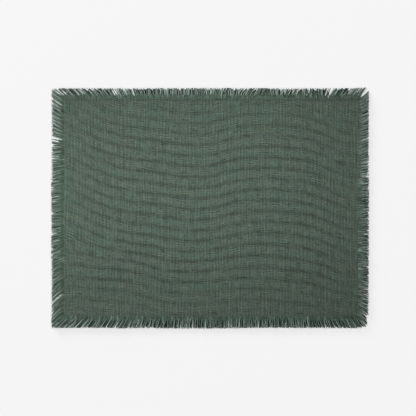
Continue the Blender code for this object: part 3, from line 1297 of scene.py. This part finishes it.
@dataclass(frozen=True)
class LooseYarns:
    """One layer of the loose yarns of a fringe. Widths and the height at rest are in radii
    of a yarn. Leans, sways and curls have a spread among clumps and one among yarns."""

    layer: Layer
    shift: float
    sections: int
    sides: int
    width: float
    flat: float
    rest: float
    sink: float
    leans: Pair
    pull: float
    sways: Pair
    curls: Pair
    raggedness: float
    tone_rise: float

    held_length: float = 3.6
    stiffness: float = 0.2
    clump_pull: float = 0.92
    clump_pulls: Pair = (0.8, 1.0)
    most_short: float = 1.3
    short_power: float = 1.5
    overhang: float = 0.25
    gap_reach: float = 0.85
    gap_depths: Pair = (0.45, 0.85)
    tries: int = 90
    crowding: float = 0.92

    crimp: float = 0.14
    crimp_fade: float = 7.0
    held_crimp: float = 0.3
    hold_fade: float = 3.5
    lifts: Pair = (1.6, 0.22)
    highest_lift: float = 1.3
    lift_run: float = 0.8
    droop_start: float = 0.7
    droop_run: float = 0.3
    droop_depth: float = 0.42
    droop_share: float = 0.4
    root_taper: float = 0.5
    tip_taper: float = 0.35
    slub_height: float = 0.16
    slub_length: float = 2.7
    widths: Pair = (0.82, 1.12)
    clearance: float = 0.02

    contrast: float = 0.15
    lean_contrast: float = 1.4
    held_contrast: float = 0.1
    contrast_start: float = 0.5
    contrast_rise: float = 0.7
    brightest: float = 4.2
    tip_light_rise: float = 2.5
    tip_light_start: float = 1.4

    def scatter(self, fringe: Fringe, clump: Array, about: Array | float, spreads: Pair) -> Array:
        """Draw random amounts that the yarns of a clump share, with a little of their own.

        Args:
            fringe: The fringe.
            clump: Clump number of each yarn.
            about: What the amounts are scattered about.
            spreads: Their spread among clumps, and among yarns.

        Returns:
            An amount for each yarn.
        """
        shared = fringe.chance.normal(0.0, spreads[0], clump.max() + 1)[clump]
        return about + shared + fringe.chance.normal(0.0, spreads[1], len(clump))

    def shortfall(self, fringe: Fringe, starts: Starts) -> Array:
        """Work out how far from the outline each yarn ends.

        Args:
            fringe: The fringe.
            starts: Where the yarns start.

        Returns:
            Distances, much longer ones for the lower yarns that leave a hole.
        """
        side, rng, count = fringe.side, fringe.chance, len(starts.place)
        short = rng.uniform(0.0, self.most_short, count) ** self.short_power
        short = short * side.look.ragged * self.raggedness
        short += side.read(Trait.TRIM, starts.share) - self.overhang - side.look.reach
        if self.layer is Layer.LOWER:
            picked = rng.uniform(0.0, 1.0, starts.clump.max() + 1)[starts.clump]
            missing = picked < side.read(Trait.OPEN, starts.share)
            missing &= starts.from_edge < self.gap_reach * side.yarn_pitch
            short += np.where(missing, side.length * rng.uniform(*self.gap_depths, count), 0.0)
        return short

    def heights(self, fringe: Fringe, out: Array, part: Array) -> Array:
        """Work out how high the yarns lie.

        Args:
            fringe: The fringe.
            out: Distances out from the roots.
            part: The same as shares of the fringe's length, from 0 to 1.

        Returns:
            Heights of their centre lines.
        """
        free = np.maximum(out, 0.0)
        phase = np.arange(len(out))[:, None] * math.pi
        weave = np.cos(math.pi * (out / fringe.side.cross_pitch + 0.5) + phase)
        crimp = self.crimp * np.exp(-free / self.crimp_fade)
        held = np.clip(1.0 - free / self.hold_fade, 0.0, 1.0)
        rest = fringe.yarn_radius * self.rest
        root = fringe.cloth_top - self.sink
        height = rest + (root - rest) * held + weave * np.where(out < 0, self.held_crimp, crimp)
        if self.layer is Layer.UPPER:
            rise = np.minimum(fringe.chance.gamma(*self.lifts, len(out)), self.highest_lift)
            lift = rise[:, None] * np.sin(math.pi * np.minimum(part * self.lift_run, 1.0))
            droop = np.clip((part - self.droop_start) / self.droop_run, 0.0, 1.0) ** 2
            height = height + lift - droop * (self.droop_depth + lift * self.droop_share)
        return height

    def radii(self, fringe: Fringe, out: Array) -> Array:
        """Work out how thick the yarns are, with slubs and with narrow ends.

        Args:
            fringe: The fringe.
            out: Distances out from the roots.

        Returns:
            Their radii.
        """
        rng, count = fringe.chance, len(out)
        taper = np.ones(self.sections)
        taper[0], taper[-1] = self.root_taper, self.tip_taper
        slubs = np.sin(out / self.slub_length + rng.uniform(0, TURN, count)[:, None])
        radii = fringe.yarn_radius * self.width * (1.0 + self.slub_height * slubs) * taper
        return radii * rng.uniform(*self.widths, count)[:, None]

    def tones(self, fringe: Fringe, starts: Starts, part: Array) -> Array:
        """Shade the yarns: alike where they are held, each clump its own way further out.

        Args:
            fringe: The fringe.
            starts: Where the yarns start.
            part: Shares of the fringe's length.

        Returns:
            Their tones.
        """
        look, rng, count = fringe.side.look, fringe.chance, len(part)
        upper = self.layer is Layer.UPPER
        tone = fringe.side.read(Trait.LIGHT, starts.share)
        # Painted light on the upper layer, and painted shade on the lower one that lies under it.
        tone = tone * (look.upper_lit_tone if upper else look.lower_shaded_tone)
        clump_contrast = look.contrast if upper else self.contrast
        own = rng.lognormal(0.0, clump_contrast, starts.clump.max() + 1)[starts.clump]
        own *= rng.lognormal(0.0, self.contrast, count)
        if upper:
            # Painted light and shade: clumps turn lighter and darker by turns, more so where they lean.
            swing = look.lit_and_shaded_swing * (1.0 + self.lean_contrast * starts.lean**2)
            own *= np.exp(swing * (-1.0) ** starts.clump)
        held = look.root_tone * fringe.streak_at(starts.place)
        held = held * rng.lognormal(0.0, self.held_contrast, count)
        fade = np.clip(self.contrast_start + self.contrast_rise * part, 0.0, 1.0)
        free = np.minimum(tone[:, None] * own[:, None] ** fade, self.brightest)
        # Painted light brightens the last stretch of each yarn towards its tip.
        at_tip = np.clip(self.tip_light_rise * part - self.tip_light_start, 0.0, 1.0)
        free = free * (1.0 + look.painted_tip_light * at_tip)
        blend = np.clip(part * self.tone_rise, 0.0, 1.0)
        return held[:, None] * (1.0 - blend) + free * blend

    def lay(self, fringe: Fringe) -> Yarns:
        """Lay the layer.

        Args:
            fringe: The fringe.

        Returns:
            The yarns.
        """
        side, rng = fringe.side, fringe.chance
        starts = fringe.starts(self.shift)
        clump = starts.clump
        slope = self.scatter(fringe, clump, starts.lean, self.leans)
        pull = self.clump_pull * rng.uniform(*self.clump_pulls, clump.max() + 1)[clump] * self.pull
        sway = self.scatter(fringe, clump, 0.0, self.sways)
        curl = self.scatter(fringe, clump, 0.0, self.curls)
        drawn = (starts.middle - starts.place) * pull
        columns = (values[:, None] for values in (starts.place, slope, sway, curl, drawn))
        courses = Courses(side, *columns, stiffness=self.stiffness)
        length = courses.reach(self.shortfall(fringe, starts)[:, None], self.tries)
        steps = np.linspace(0.0, 1.0, self.sections)[None, :] ** self.crowding
        out = -self.held_length + steps * (length + self.held_length)
        part = np.clip(out / side.length, 0.0, 1.0)
        height = self.heights(fringe, out, part)
        radii = self.radii(fringe, out)
        height = np.maximum(height, radii * self.flat + self.clearance)
        tones = self.tones(fringe, starts, part)
        paths = side.to_mat(courses.at(out), out, height)
        return Yarns(paths, radii, tones, rng.uniform(0, 1, len(out)))


LOWER_YARNS = LooseYarns(
    Layer.LOWER, shift=-0.2, sections=9, sides=5, width=1.9, flat=0.42, rest=0.9, sink=0.75,
    leans=(0.02, 0.02), pull=0.1, sways=(0.1, 0.08), curls=(0.1, 0.04), raggedness=1.2, tone_rise=4.0,
)
UPPER_YARNS = LooseYarns(
    Layer.UPPER, shift=0.25, sections=18, sides=6, width=0.88, flat=0.85, rest=2.35, sink=0.35,
    leans=(0.05, 0.02), pull=1.0, sways=(0.3, 0.18), curls=(0.2, 0.1), raggedness=0.7, tone_rise=2.8,
)


@dataclass(frozen=True)
class StrayYarns:
    """Thin bright single yarns that lie across the others. A pair is the range of a random
    amount, a spread its standard deviation."""

    sections: int = 10
    sides: int = 5
    pitch: float = 3.2
    radius: float = 0.28
    shares: Pair = (0.005, 0.995)
    slopes: Pair = (0.6, 1.2)
    slope_spread: float = 0.28
    sway_spread: float = 1.3
    shorts: Pair = (-0.5, 2.5)
    tries: int = 60
    start: float = 0.3
    sink: float = 0.2
    rises: Pair = (0.2, 0.7)
    arch: float = 0.9
    fall: float = 0.2
    widths: Pair = (0.75, 1.15)
    tip_taper: float = 0.4
    contrast: float = 0.2
    root_shade: float = 0.55
    shade_gain: float = 0.45
    shade_rise: float = 2.0

    def lay(self, fringe: Fringe) -> Yarns:
        """Lay the strays.

        Args:
            fringe: The fringe.

        Returns:
            The yarns.
        """
        side, rng = fringe.side, fringe.chance
        low, high = side.ends
        count = int((high - low) / self.pitch)
        share = np.sort(rng.uniform(*self.shares, count))
        place = low + share * (high - low)
        slope = side.slope_at(share) * rng.uniform(*self.slopes, count)
        slope = slope + rng.normal(0.0, self.slope_spread, count)
        sway = rng.normal(0.0, self.sway_spread, count)
        courses = Courses(side, place[:, None], slope[:, None], sway[:, None])
        length = courses.reach(rng.uniform(*self.shorts, count)[:, None], self.tries)
        steps = np.linspace(0.0, 1.0, self.sections)[None, :]
        out = self.start + steps * (length - self.start)
        rise = rng.uniform(*self.rises, count)[:, None] * np.sin(math.pi * steps * self.arch)
        height = fringe.cloth_top - self.sink + rise - self.fall * steps
        radii = self.radius * rng.uniform(*self.widths, count)[:, None] * np.ones(out.shape)
        radii[:, -1] *= self.tip_taper
        tone = side.look.upper_lit_tone * side.read(Trait.LIGHT, share)
        tone *= rng.lognormal(side.look.stray_light, self.contrast, count)
        shade = self.root_shade + self.shade_gain * np.clip(steps * self.shade_rise, 0.0, 1.0)
        paths = side.to_mat(courses.at(out), out, height)
        return Yarns(paths, radii, tone[:, None] * shade, rng.uniform(0, 1, count))


@dataclass(frozen=True)
class CrossYarns:
    """The last yarns of the weave, which run along the side over and under the rest."""

    rows: int = 3
    sides: int = 5
    sections_per_yarn: int = 2
    end_inset: float = 0.4
    first_row: float = 0.45
    drift: float = 0.12
    drift_length: float = 9.0
    drift_phase: float = 2.1
    sink: float = 0.42
    rise: float = 0.28
    width: float = 1.05
    slub_height: float = 0.1
    slub_length: float = 5.3
    contrast: float = 0.08

    def lay(self, fringe: Fringe) -> Yarns:
        """Lay the cross yarns.

        Args:
            fringe: The fringe.

        Returns:
            The yarns.
        """
        side, rng = fringe.side, fringe.chance
        low, high = side.ends
        sections = self.sections_per_yarn * int((high - low) / side.yarn_pitch)
        place = np.linspace(low + self.end_inset, high - self.end_inset, sections)
        place = place[None, :].repeat(self.rows, 0)
        row = np.arange(self.rows)[:, None]
        drift = self.drift * np.sin(place / self.drift_length + row * self.drift_phase)
        out = -(row + self.first_row) * side.cross_pitch + drift
        weave = np.cos(math.pi * (place - low) / side.yarn_pitch + row * math.pi)
        height = fringe.cloth_top - self.sink + self.rise * weave
        slubs = self.slub_height * np.sin(place / self.slub_length + row)
        tones = side.look.root_tone * fringe.streak_at(place)
        tones *= rng.lognormal(0.0, self.contrast, (self.rows, 1))
        radii = fringe.yarn_radius * (self.width + slubs)
        return Yarns(side.to_mat(place, out, height), radii, tones, rng.uniform(0, 1, self.rows))


@dataclass(frozen=True)
class TipFibres:
    """Fine fibres that stand out at the tips of the upper yarns."""

    sides: int = 3
    per_tip: int = 2
    tip_sections: int = 3
    spread: float = 0.55
    spread_up: float = 0.35
    bend: float = 0.35
    bend_up: float = 0.3
    lengths: Pair = (0.6, 1.5)
    lowest: float = 0.08
    radii: tuple[float, ...] = (0.06, 0.055, 0.045, 0.02)
    lightness: float = 1.15

    def lay(self, fringe: Fringe, yarns: Yarns) -> Yarns:
        """Lay the fibres.

        Args:
            fringe: The fringe.
            yarns: Its upper yarns.

        Returns:
            The fibres.
        """
        rng = fringe.chance
        tips = np.repeat(yarns.paths[:, -2], self.per_tip, axis=0)
        ways = yarns.paths[:, -1] - yarns.paths[:, -1 - self.tip_sections]
        ways = np.repeat(ways, self.per_tip, axis=0)
        ways /= np.linalg.norm(ways, axis=1, keepdims=True)
        spread = rng.normal(0.0, self.spread, ways.shape)
        spread[:, 2] = np.abs(spread[:, 2]) * self.spread_up
        ways = ways + spread
        bend = rng.normal(0.0, self.bend, ways.shape)
        bend[:, 2] *= self.bend_up
        length = rng.uniform(*self.lengths, len(tips))[:, None, None]
        steps = np.linspace(0.0, 1.0, len(self.radii))[None, :, None]
        lines = tips[:, None] + (ways[:, None] * steps + bend[:, None] * steps**2) * length
        lines[:, :, 2] = np.maximum(lines[:, :, 2], self.lowest)
        radii = np.array(self.radii)[None, :].repeat(len(tips), 0)
        tones = np.full(radii.shape, fringe.side.look.upper_lit_tone * self.lightness)
        return Yarns(lines, radii, tones, np.repeat(yarns.chance, self.per_tip))


@dataclass
class Fringe:
    """The frayed edge of one side: its loose yarns and the cross yarns that hold them."""

    side: Side
    seed: int
    lower: LooseYarns = LOWER_YARNS
    upper: LooseYarns = UPPER_YARNS
    strays: StrayYarns = StrayYarns()
    cross: CrossYarns = CrossYarns()
    fibres: TipFibres = TipFibres()
    cloth_top: float = 1.3
    yarn_radius: float = 0.46
    start_jitter: float = 0.16
    streak_width: float = 1.45
    streak_middle: float = -0.04
    streak_contrast: float = 0.42
    clump_widths: Pair = (0.75, 1.25)
    clumps_per_streak: int = 2
    clump_narrowing: float = 0.36
    grid_per_streak: int = 4
    atlas_columns: int = 20

    def __post_init__(self) -> None:
        """Start the side's own steady stream of random numbers, and its root streaks."""
        self.chance = np.random.default_rng(self.seed)
        low, high = self.side.ends
        count = int((high - low) / self.streak_width) + 1
        self.streaks = self.chance.lognormal(self.streak_middle, self.streak_contrast, count)
        widths = self.chance.uniform(*self.clump_widths, self.clumps_per_streak * count)
        widths = self.side.look.clump_width * widths
        grid = np.linspace(low, high, self.grid_per_streak * count)
        slope = self.side.slope_at((grid - low) / (high - low))
        narrowed = np.cumsum((1.0 + slope**2) ** -self.clump_narrowing) * (grid[1] - grid[0])
        edges = np.interp(np.cumsum(widths) - widths[0] / 2, narrowed, grid)
        self.clump_edges = edges[edges < high]

    def streak_at(self, place: Array) -> Array:
        """Shade the streaks in which the held yarns lie.

        Args:
            place: Places along the side.

        Returns:
            The tone at each place.
        """
        low, high = self.side.ends
        index = (place - low) / (high - low) * len(self.streaks)
        return self.streaks[np.clip(index.astype(int), 0, len(self.streaks) - 1)]

    def starts(self, shift: float) -> Starts:
        """Place the yarns of a layer where they leave the cloth, and gather them in clumps.

        Args:
            shift: Shift of the whole layer, as a share of the pitch.

        Returns:
            Where the yarns start.
        """
        low, high = self.side.ends
        count = int((high - low) / self.side.yarn_pitch)
        share = (np.arange(count) + 0.5 + shift) / count
        share += self.chance.uniform(-self.start_jitter, self.start_jitter, count) / count
        place = low + share * (high - low)
        clump = np.searchsorted(self.clump_edges, place)
        middle = np.bincount(clump, place) / np.maximum(np.bincount(clump), 1)
        from_edge = np.abs(place[:, None] - self.clump_edges[None, :]).min(axis=1)
        return Starts(place, share, self.side.slope_at(share), clump, middle[clump], from_edge)

    def build(self, material: bpy.types.Material) -> bpy.types.Object:
        """Build the fringe over its solid.

        Args:
            material: The yarns' material.

        Returns:
            The finished piece.
        """
        yarns = SweptYarns(f"yarn_fringe_{self.side.name}", self.atlas_columns)
        yarns.add(self.lower.lay(self), self.lower.sides, self.lower.flat)
        upper = self.upper.lay(self)
        yarns.add(upper, self.upper.sides, self.upper.flat)
        yarns.add(self.strays.lay(self), self.strays.sides)
        yarns.add(self.cross.lay(self), self.cross.sides)
        yarns.add(self.fibres.lay(self, upper), self.fibres.sides)
        piece = yarns.build(material)
        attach(piece, BODY)
        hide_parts(self.side.node)
        return piece


@dataclass(frozen=True)
class StitchLine:
    """A row of machine stitches along one side, and the groove that it draws, painted as shade on the
    cloth.
    """

    upright: bool
    place: float
    start: float
    end: float
    groove_depth: float
    groove_width: float = 1.15
    pitch: float = 3.0


@dataclass(frozen=True)
class StitchRows:
    """The stitching that keeps the cloth from fraying further, one row to a side. The
    lines stand for the left side, the right, the back and the front."""

    lines: tuple[StitchLine, ...] = (
        StitchLine(True, -ROOT_LEFT + 0.35, -ROOT_FRONT + 2.0, ROOT_BACK - 4.0, 0.42),
        StitchLine(True, ROOT_RIGHT - 4.6, -ROOT_FRONT + 2.0, ROOT_BACK - 4.0, 0.04),
        StitchLine(False, ROOT_BACK - 5.7, -ROOT_LEFT + 2.0, ROOT_RIGHT - 2.5, 0.24, 3.0),
        StitchLine(False, -ROOT_FRONT + 3.6, -ROOT_LEFT + 2.0, ROOT_RIGHT - 2.5, 0.05),
    )
    seed: int = 77
    sections: int = 6
    sides: int = 6
    thread_radius: float = 0.19
    stitch_share: float = 0.72
    wander: float = 0.07
    slant: float = 0.05
    sink: float = 0.2
    arch: float = 0.3

    def build(self, material: bpy.types.Material, cloth: WovenField) -> bpy.types.Object:
        """Sew the rows into the cloth.

        Args:
            material: The thread's material.
            cloth: The cloth, whose top the stitches follow.

        Returns:
            The finished piece.
        """
        rng = np.random.default_rng(self.seed)
        yarns = SweptYarns("stitching")
        part = np.linspace(0.0, 1.0, self.sections)[None, :]
        for line in self.lines:
            count = int((line.end - line.start) / line.pitch)
            first = line.start + np.arange(count)[:, None] * line.pitch
            along = first + part * line.pitch * self.stitch_share
            off = rng.normal(0.0, self.wander, (count, 1))
            across = line.place + (off + rng.normal(0.0, self.slant, (count, 1)) * part)
            x, y = (across, along) if line.upright else (along, across)
            height = cloth.top_at(x, y) - self.sink + self.arch * np.sin(math.pi * part)
            paths = np.stack([x, y, height], axis=-1)
            radii, tones = np.full(x.shape, self.thread_radius), np.ones(x.shape)
            yarns.add(Yarns(paths, radii, tones, rng.uniform(0, 1, count)), self.sides)
        piece = yarns.build(material)
        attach(piece, BODY)
        return piece


class Swell(NamedTuple):
    """A slow wave of the cloth: how it runs across and along the mat, and where it starts."""

    across: float
    along: float
    start: float


@dataclass(frozen=True)
class WovenField:
    """The woven field: one thin closed sheet that runs out to the fringe roots. On the
    baked picture its top lies over its underside, each with a corner and a span."""

    left: float = -ROOT_LEFT
    right: float = ROOT_RIGHT
    front: float = -ROOT_FRONT
    back: float = ROOT_BACK
    thickness: float = 1.3
    underside: float = 0.03
    edge_height: float = 0.35
    edge_width: float = 1.3
    edge_lines: tuple[float, ...] = (0.0, 0.35, 0.8, 1.4, 2.2)
    inner_inset: float = 4.0
    cell: float = 3.0
    swells: tuple[Swell, ...] = (Swell(1.0, 0.35, 0.0), Swell(-0.5, 0.8, 1.1))
    wave_height: float = 0.1
    wave_length: float = 118.0
    top_corner: Pair = (0.006, 0.006)
    top_span: Pair = (0.988, 0.739)
    under_corner: Pair = (0.006, 0.76)
    under_span: Pair = (0.31, 0.232)

    def lines(self, low: float, high: float) -> Array:
        """Rule grid lines from edge to edge, closer together beside the edges.

        Args:
            low: The lower edge.
            high: The higher edge.

        Returns:
            The places of the lines.
        """
        close = np.array(self.edge_lines)
        count = int((high - low) / self.cell)
        inner = np.linspace(low + self.inner_inset, high - self.inner_inset, count)
        return np.concatenate([low + close, inner, (high - close)[::-1]])

    def top_at(self, x: Array, y: Array) -> Array:
        """Work out the height of the cloth's top.

        Args:
            x: Places across the mat.
            y: Places from front to back.

        Returns:
            Heights in mm: slow swells inside, and a round at the edges.
        """
        turn = TURN / self.wave_length
        swell = sum(np.sin(turn * (s.across * x + s.along * y) + s.start) for s in self.swells)
        edge = np.minimum(
            np.minimum(x - self.left, self.right - x), np.minimum(y - self.front, self.back - y))
        near = np.clip(edge / self.edge_width, 0.0, 1.0)
        rounded = np.sqrt(1.0 - (1.0 - near) ** 2)
        full = self.thickness + self.wave_height * swell / len(self.swells)
        return self.edge_height + (full - self.edge_height) * rounded

    def build(self, material: bpy.types.Material) -> bpy.types.Object:
        """Build the sheet with its material.

        Args:
            material: The cloth's material.

        Returns:
            The finished piece.
        """
        xs, ys = self.lines(self.left, self.right), self.lines(self.front, self.back)
        x, y = np.meshgrid(xs, ys, indexing="ij")
        top, under = (
            np.stack([x, y, height], axis=-1).reshape(-1, 3)
            for height in (self.top_at(x, y), np.full(x.shape, self.underside))
        )
        number = np.arange(x.size).reshape(x.shape)
        quads = np.stack(
            [number[:-1, :-1], number[1:, :-1], number[1:, 1:], number[:-1, 1:]], axis=-1
        ).reshape(-1, 4)
        rim = np.concatenate([number[:, 0], number[-1, 1:], number[-2::-1, -1], number[0, -2::-1]])
        walls = np.stack([rim[:-1], rim[:-1] + x.size, rim[1:] + x.size, rim[1:]], axis=-1)
        faces = np.concatenate([quads, quads[:, ::-1] + x.size, walls])
        mesh = bpy.data.meshes.new("woven_field")
        mesh.from_pydata(np.concatenate([top, under]) * MM, [], faces.tolist())
        corner = np.array([self.left, self.front])
        span = np.array([self.right, self.back]) - corner
        share = (top[:, :2] - corner) / span
        on_top = np.array(self.top_corner) + share * np.array(self.top_span)
        below = np.array(self.under_corner) + share * np.array(self.under_span)
        around = on_top[walls.reshape(-1) % x.size]
        flat_faces = faces[: 2 * len(quads)].reshape(-1)
        unwrap(mesh, "OFBake", np.concatenate([np.concatenate([on_top, below])[flat_faces], around]))
        piece = stand(mesh, material)
        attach(piece, BODY)
        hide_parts("cloth")
        return piece


@dataclass(frozen=True)
class Softbox:
    """A round soft light that faces a spot on the table, and what it lights."""

    name: str
    place: Point
    spot: Point
    size: float
    power: float
    lit: Lit

    def build(self, things: bpy.types.Collection) -> None:
        """Hang the light.

        Args:
            things: What it lights.
        """
        data = bpy.data.lights.new(self.name, "AREA")
        data.shape = "DISK"
        data.size = self.size
        data.energy = self.power
        light = bpy.data.objects.new(self.name, data)
        light.location = self.place
        bpy.context.scene.collection.objects.link(light)
        way = Vector(self.spot) - Vector(self.place)
        light.rotation_mode = "QUATERNION"
        light.rotation_quaternion = way.to_track_quat("-Z", "Y")
        light.light_linking.receiver_collection = things


@dataclass(frozen=True)
class Backdrop:
    """The plain surface of the table or of the wall, which glows softly."""

    name: str
    color: Color
    glow: float
    roughness: float
    specular: float

    def build(self) -> bpy.types.Material:
        """Make the material.

        Returns:
            The material.
        """
        material = bpy.data.materials.new(self.name)
        material.use_nodes = True
        shader = material.node_tree.nodes["Principled BSDF"]
        shader.inputs["Base Color"].default_value = (*self.color, 1.0)
        shader.inputs["Roughness"].default_value = self.roughness
        shader.inputs["Specular IOR Level"].default_value = self.specular
        shader.inputs["Emission Color"].default_value = (*WHITE, 1.0)
        shader.inputs["Emission Strength"].default_value = self.glow
        return material


@dataclass(frozen=True)
class Studio:
    """The pale table and wall, the soft lights from above and from the upper left, and the
    camera. Sizes are in metres, but the lens and its sensor are in mm."""

    frame_width: float = 0.6006
    lens: float = 85.0
    sensor: float = 36.0
    aim: Point = (-0.0032, 0.0007, 0.0013)
    table_size: float = 16.0
    table_drop: float = 0.02 * MM
    table_finish: Backdrop = Backdrop("pale table", (0.62, 0.62, 0.62), 0.778, 0.9, 0.1)
    wall_distance: float = 7.8
    wall_height: float = 9.0
    wall_sides: int = 96
    wall_finish: Backdrop = Backdrop("pale wall", (0.0, 0.0, 0.0), 0.9, 0.5, 0.0)
    softboxes: tuple[Softbox, ...] = (
        Softbox("high_window", (-6.0, 7.6, 3.8), (0.0, 0.0, 0.0), 3.2, 736.0, Lit.MAT),
        Softbox("low_window", (-7.44, 9.42, 1.48), (0.0, 0.0, 0.0), 2.1, 1860.0, Lit.TABLE),
        Softbox("left_overhead", (-0.286, 0.024, 0.34), (-0.286, 0.024, 0.0), 0.2, 0.715, Lit.MAT),
        Softbox("right_overhead", (0.057, 0.058, 0.34), (0.057, 0.058, 0.0), 0.2, 0.67, Lit.MAT),
    )
    sky_strength: float = 0.061

    def table(self) -> bpy.types.Object:
        """Make the plain pale table top, lit a little from below like a light table.

        Returns:
            The table top.
        """
        bpy.ops.mesh.primitive_plane_add(size=self.table_size, location=(0, 0, -self.table_drop))
        top = bpy.context.object
        top.name = "table_top"
        top.data.materials.append(self.table_finish.build())
        return top

    def wall(self) -> None:
        """Stand a pale round wall far behind the mat, for a low camera; it lights nothing."""
        bpy.ops.mesh.primitive_cylinder_add(
            vertices=self.wall_sides, radius=self.wall_distance, depth=self.wall_height,
            end_fill_type="NOTHING", location=(0, 0, self.wall_height / 2))
        wall = bpy.context.object
        wall.name = "studio_wall"
        wall.visible_diffuse = False
        wall.visible_glossy = False
        wall.visible_transmission = False
        wall.visible_shadow = False
        wall.data.materials.append(self.wall_finish.build())

    def lights(self, pieces: Sequence[bpy.types.Object], table: bpy.types.Object) -> None:
        """Hang the soft lights and set the even light of the room.

        Args:
            pieces: The mat's pieces.
            table: The table top.
        """
        lit_things = {}
        for lit, things in ((Lit.MAT, pieces), (Lit.TABLE, [table])):
            lit_things[lit] = bpy.data.collections.new(f"lit_{lit.value}")
            for thing in things:
                lit_things[lit].objects.link(thing)
        for softbox in self.softboxes:
            softbox.build(lit_things[softbox.lit])
        world = bpy.data.worlds.new("room")
        world.use_nodes = True
        room = world.node_tree.nodes["Background"]
        room.inputs["Color"].default_value = (*WHITE, 1.0)
        room.inputs["Strength"].default_value = self.sky_strength
        bpy.context.scene.world = world

    def camera(self) -> None:
        """Set the camera straight above, so that the frame is as wide as the photo's."""
        data = bpy.data.cameras.new("overhead")
        data.lens = self.lens
        data.sensor_width = self.sensor
        camera = bpy.data.objects.new("overhead", data)
        distance = self.frame_width * self.lens / self.sensor
        camera.location = (*self.aim[:2], self.aim[2] + distance)
        bpy.context.scene.collection.objects.link(camera)
        bpy.context.scene.camera = camera
        bpy.context.scene.view_settings.view_transform = "Standard"


def report(piece: bpy.types.Object) -> None:
    """Log a finished piece."""
    log.info("%s: %d faces", piece.name, len(piece.data.polygons))


def main() -> None:
    """Build the studio and the mat's pieces in order, and report each."""
    logging.basicConfig(level=logging.INFO, format="%(message)s")
    studio = Studio()
    studio.camera()
    table = studio.table()
    studio.wall()
    effects = Effects()
    stitches = StitchRows()
    cloth = WovenField()
    cloth_piece = cloth.build(ClothFinish(effects).build(stitches.lines))
    report(cloth_piece)
    loose, sewn = Matte("loose fringe yarn", 0.85, 0.1), Matte("sewing thread", 0.6, 0.1)
    yarn = YarnFinish(effects, loose, tint=1.0, bump_distance=0.12).build()
    thread = YarnFinish(effects, sewn, tint=0.75, bump_distance=0.06).build()
    on_cloth = []
    for number, side in enumerate((BACK, FRONT, LEFT, RIGHT)):
        on_cloth.append(Fringe(side, FRINGE_SEED + number).build(yarn))
        report(on_cloth[-1])
    on_cloth.append(stitches.build(thread, cloth))
    report(on_cloth[-1])
    studio.lights([cloth_piece, *on_cloth], table)


if __name__ == "__main__":
    main()
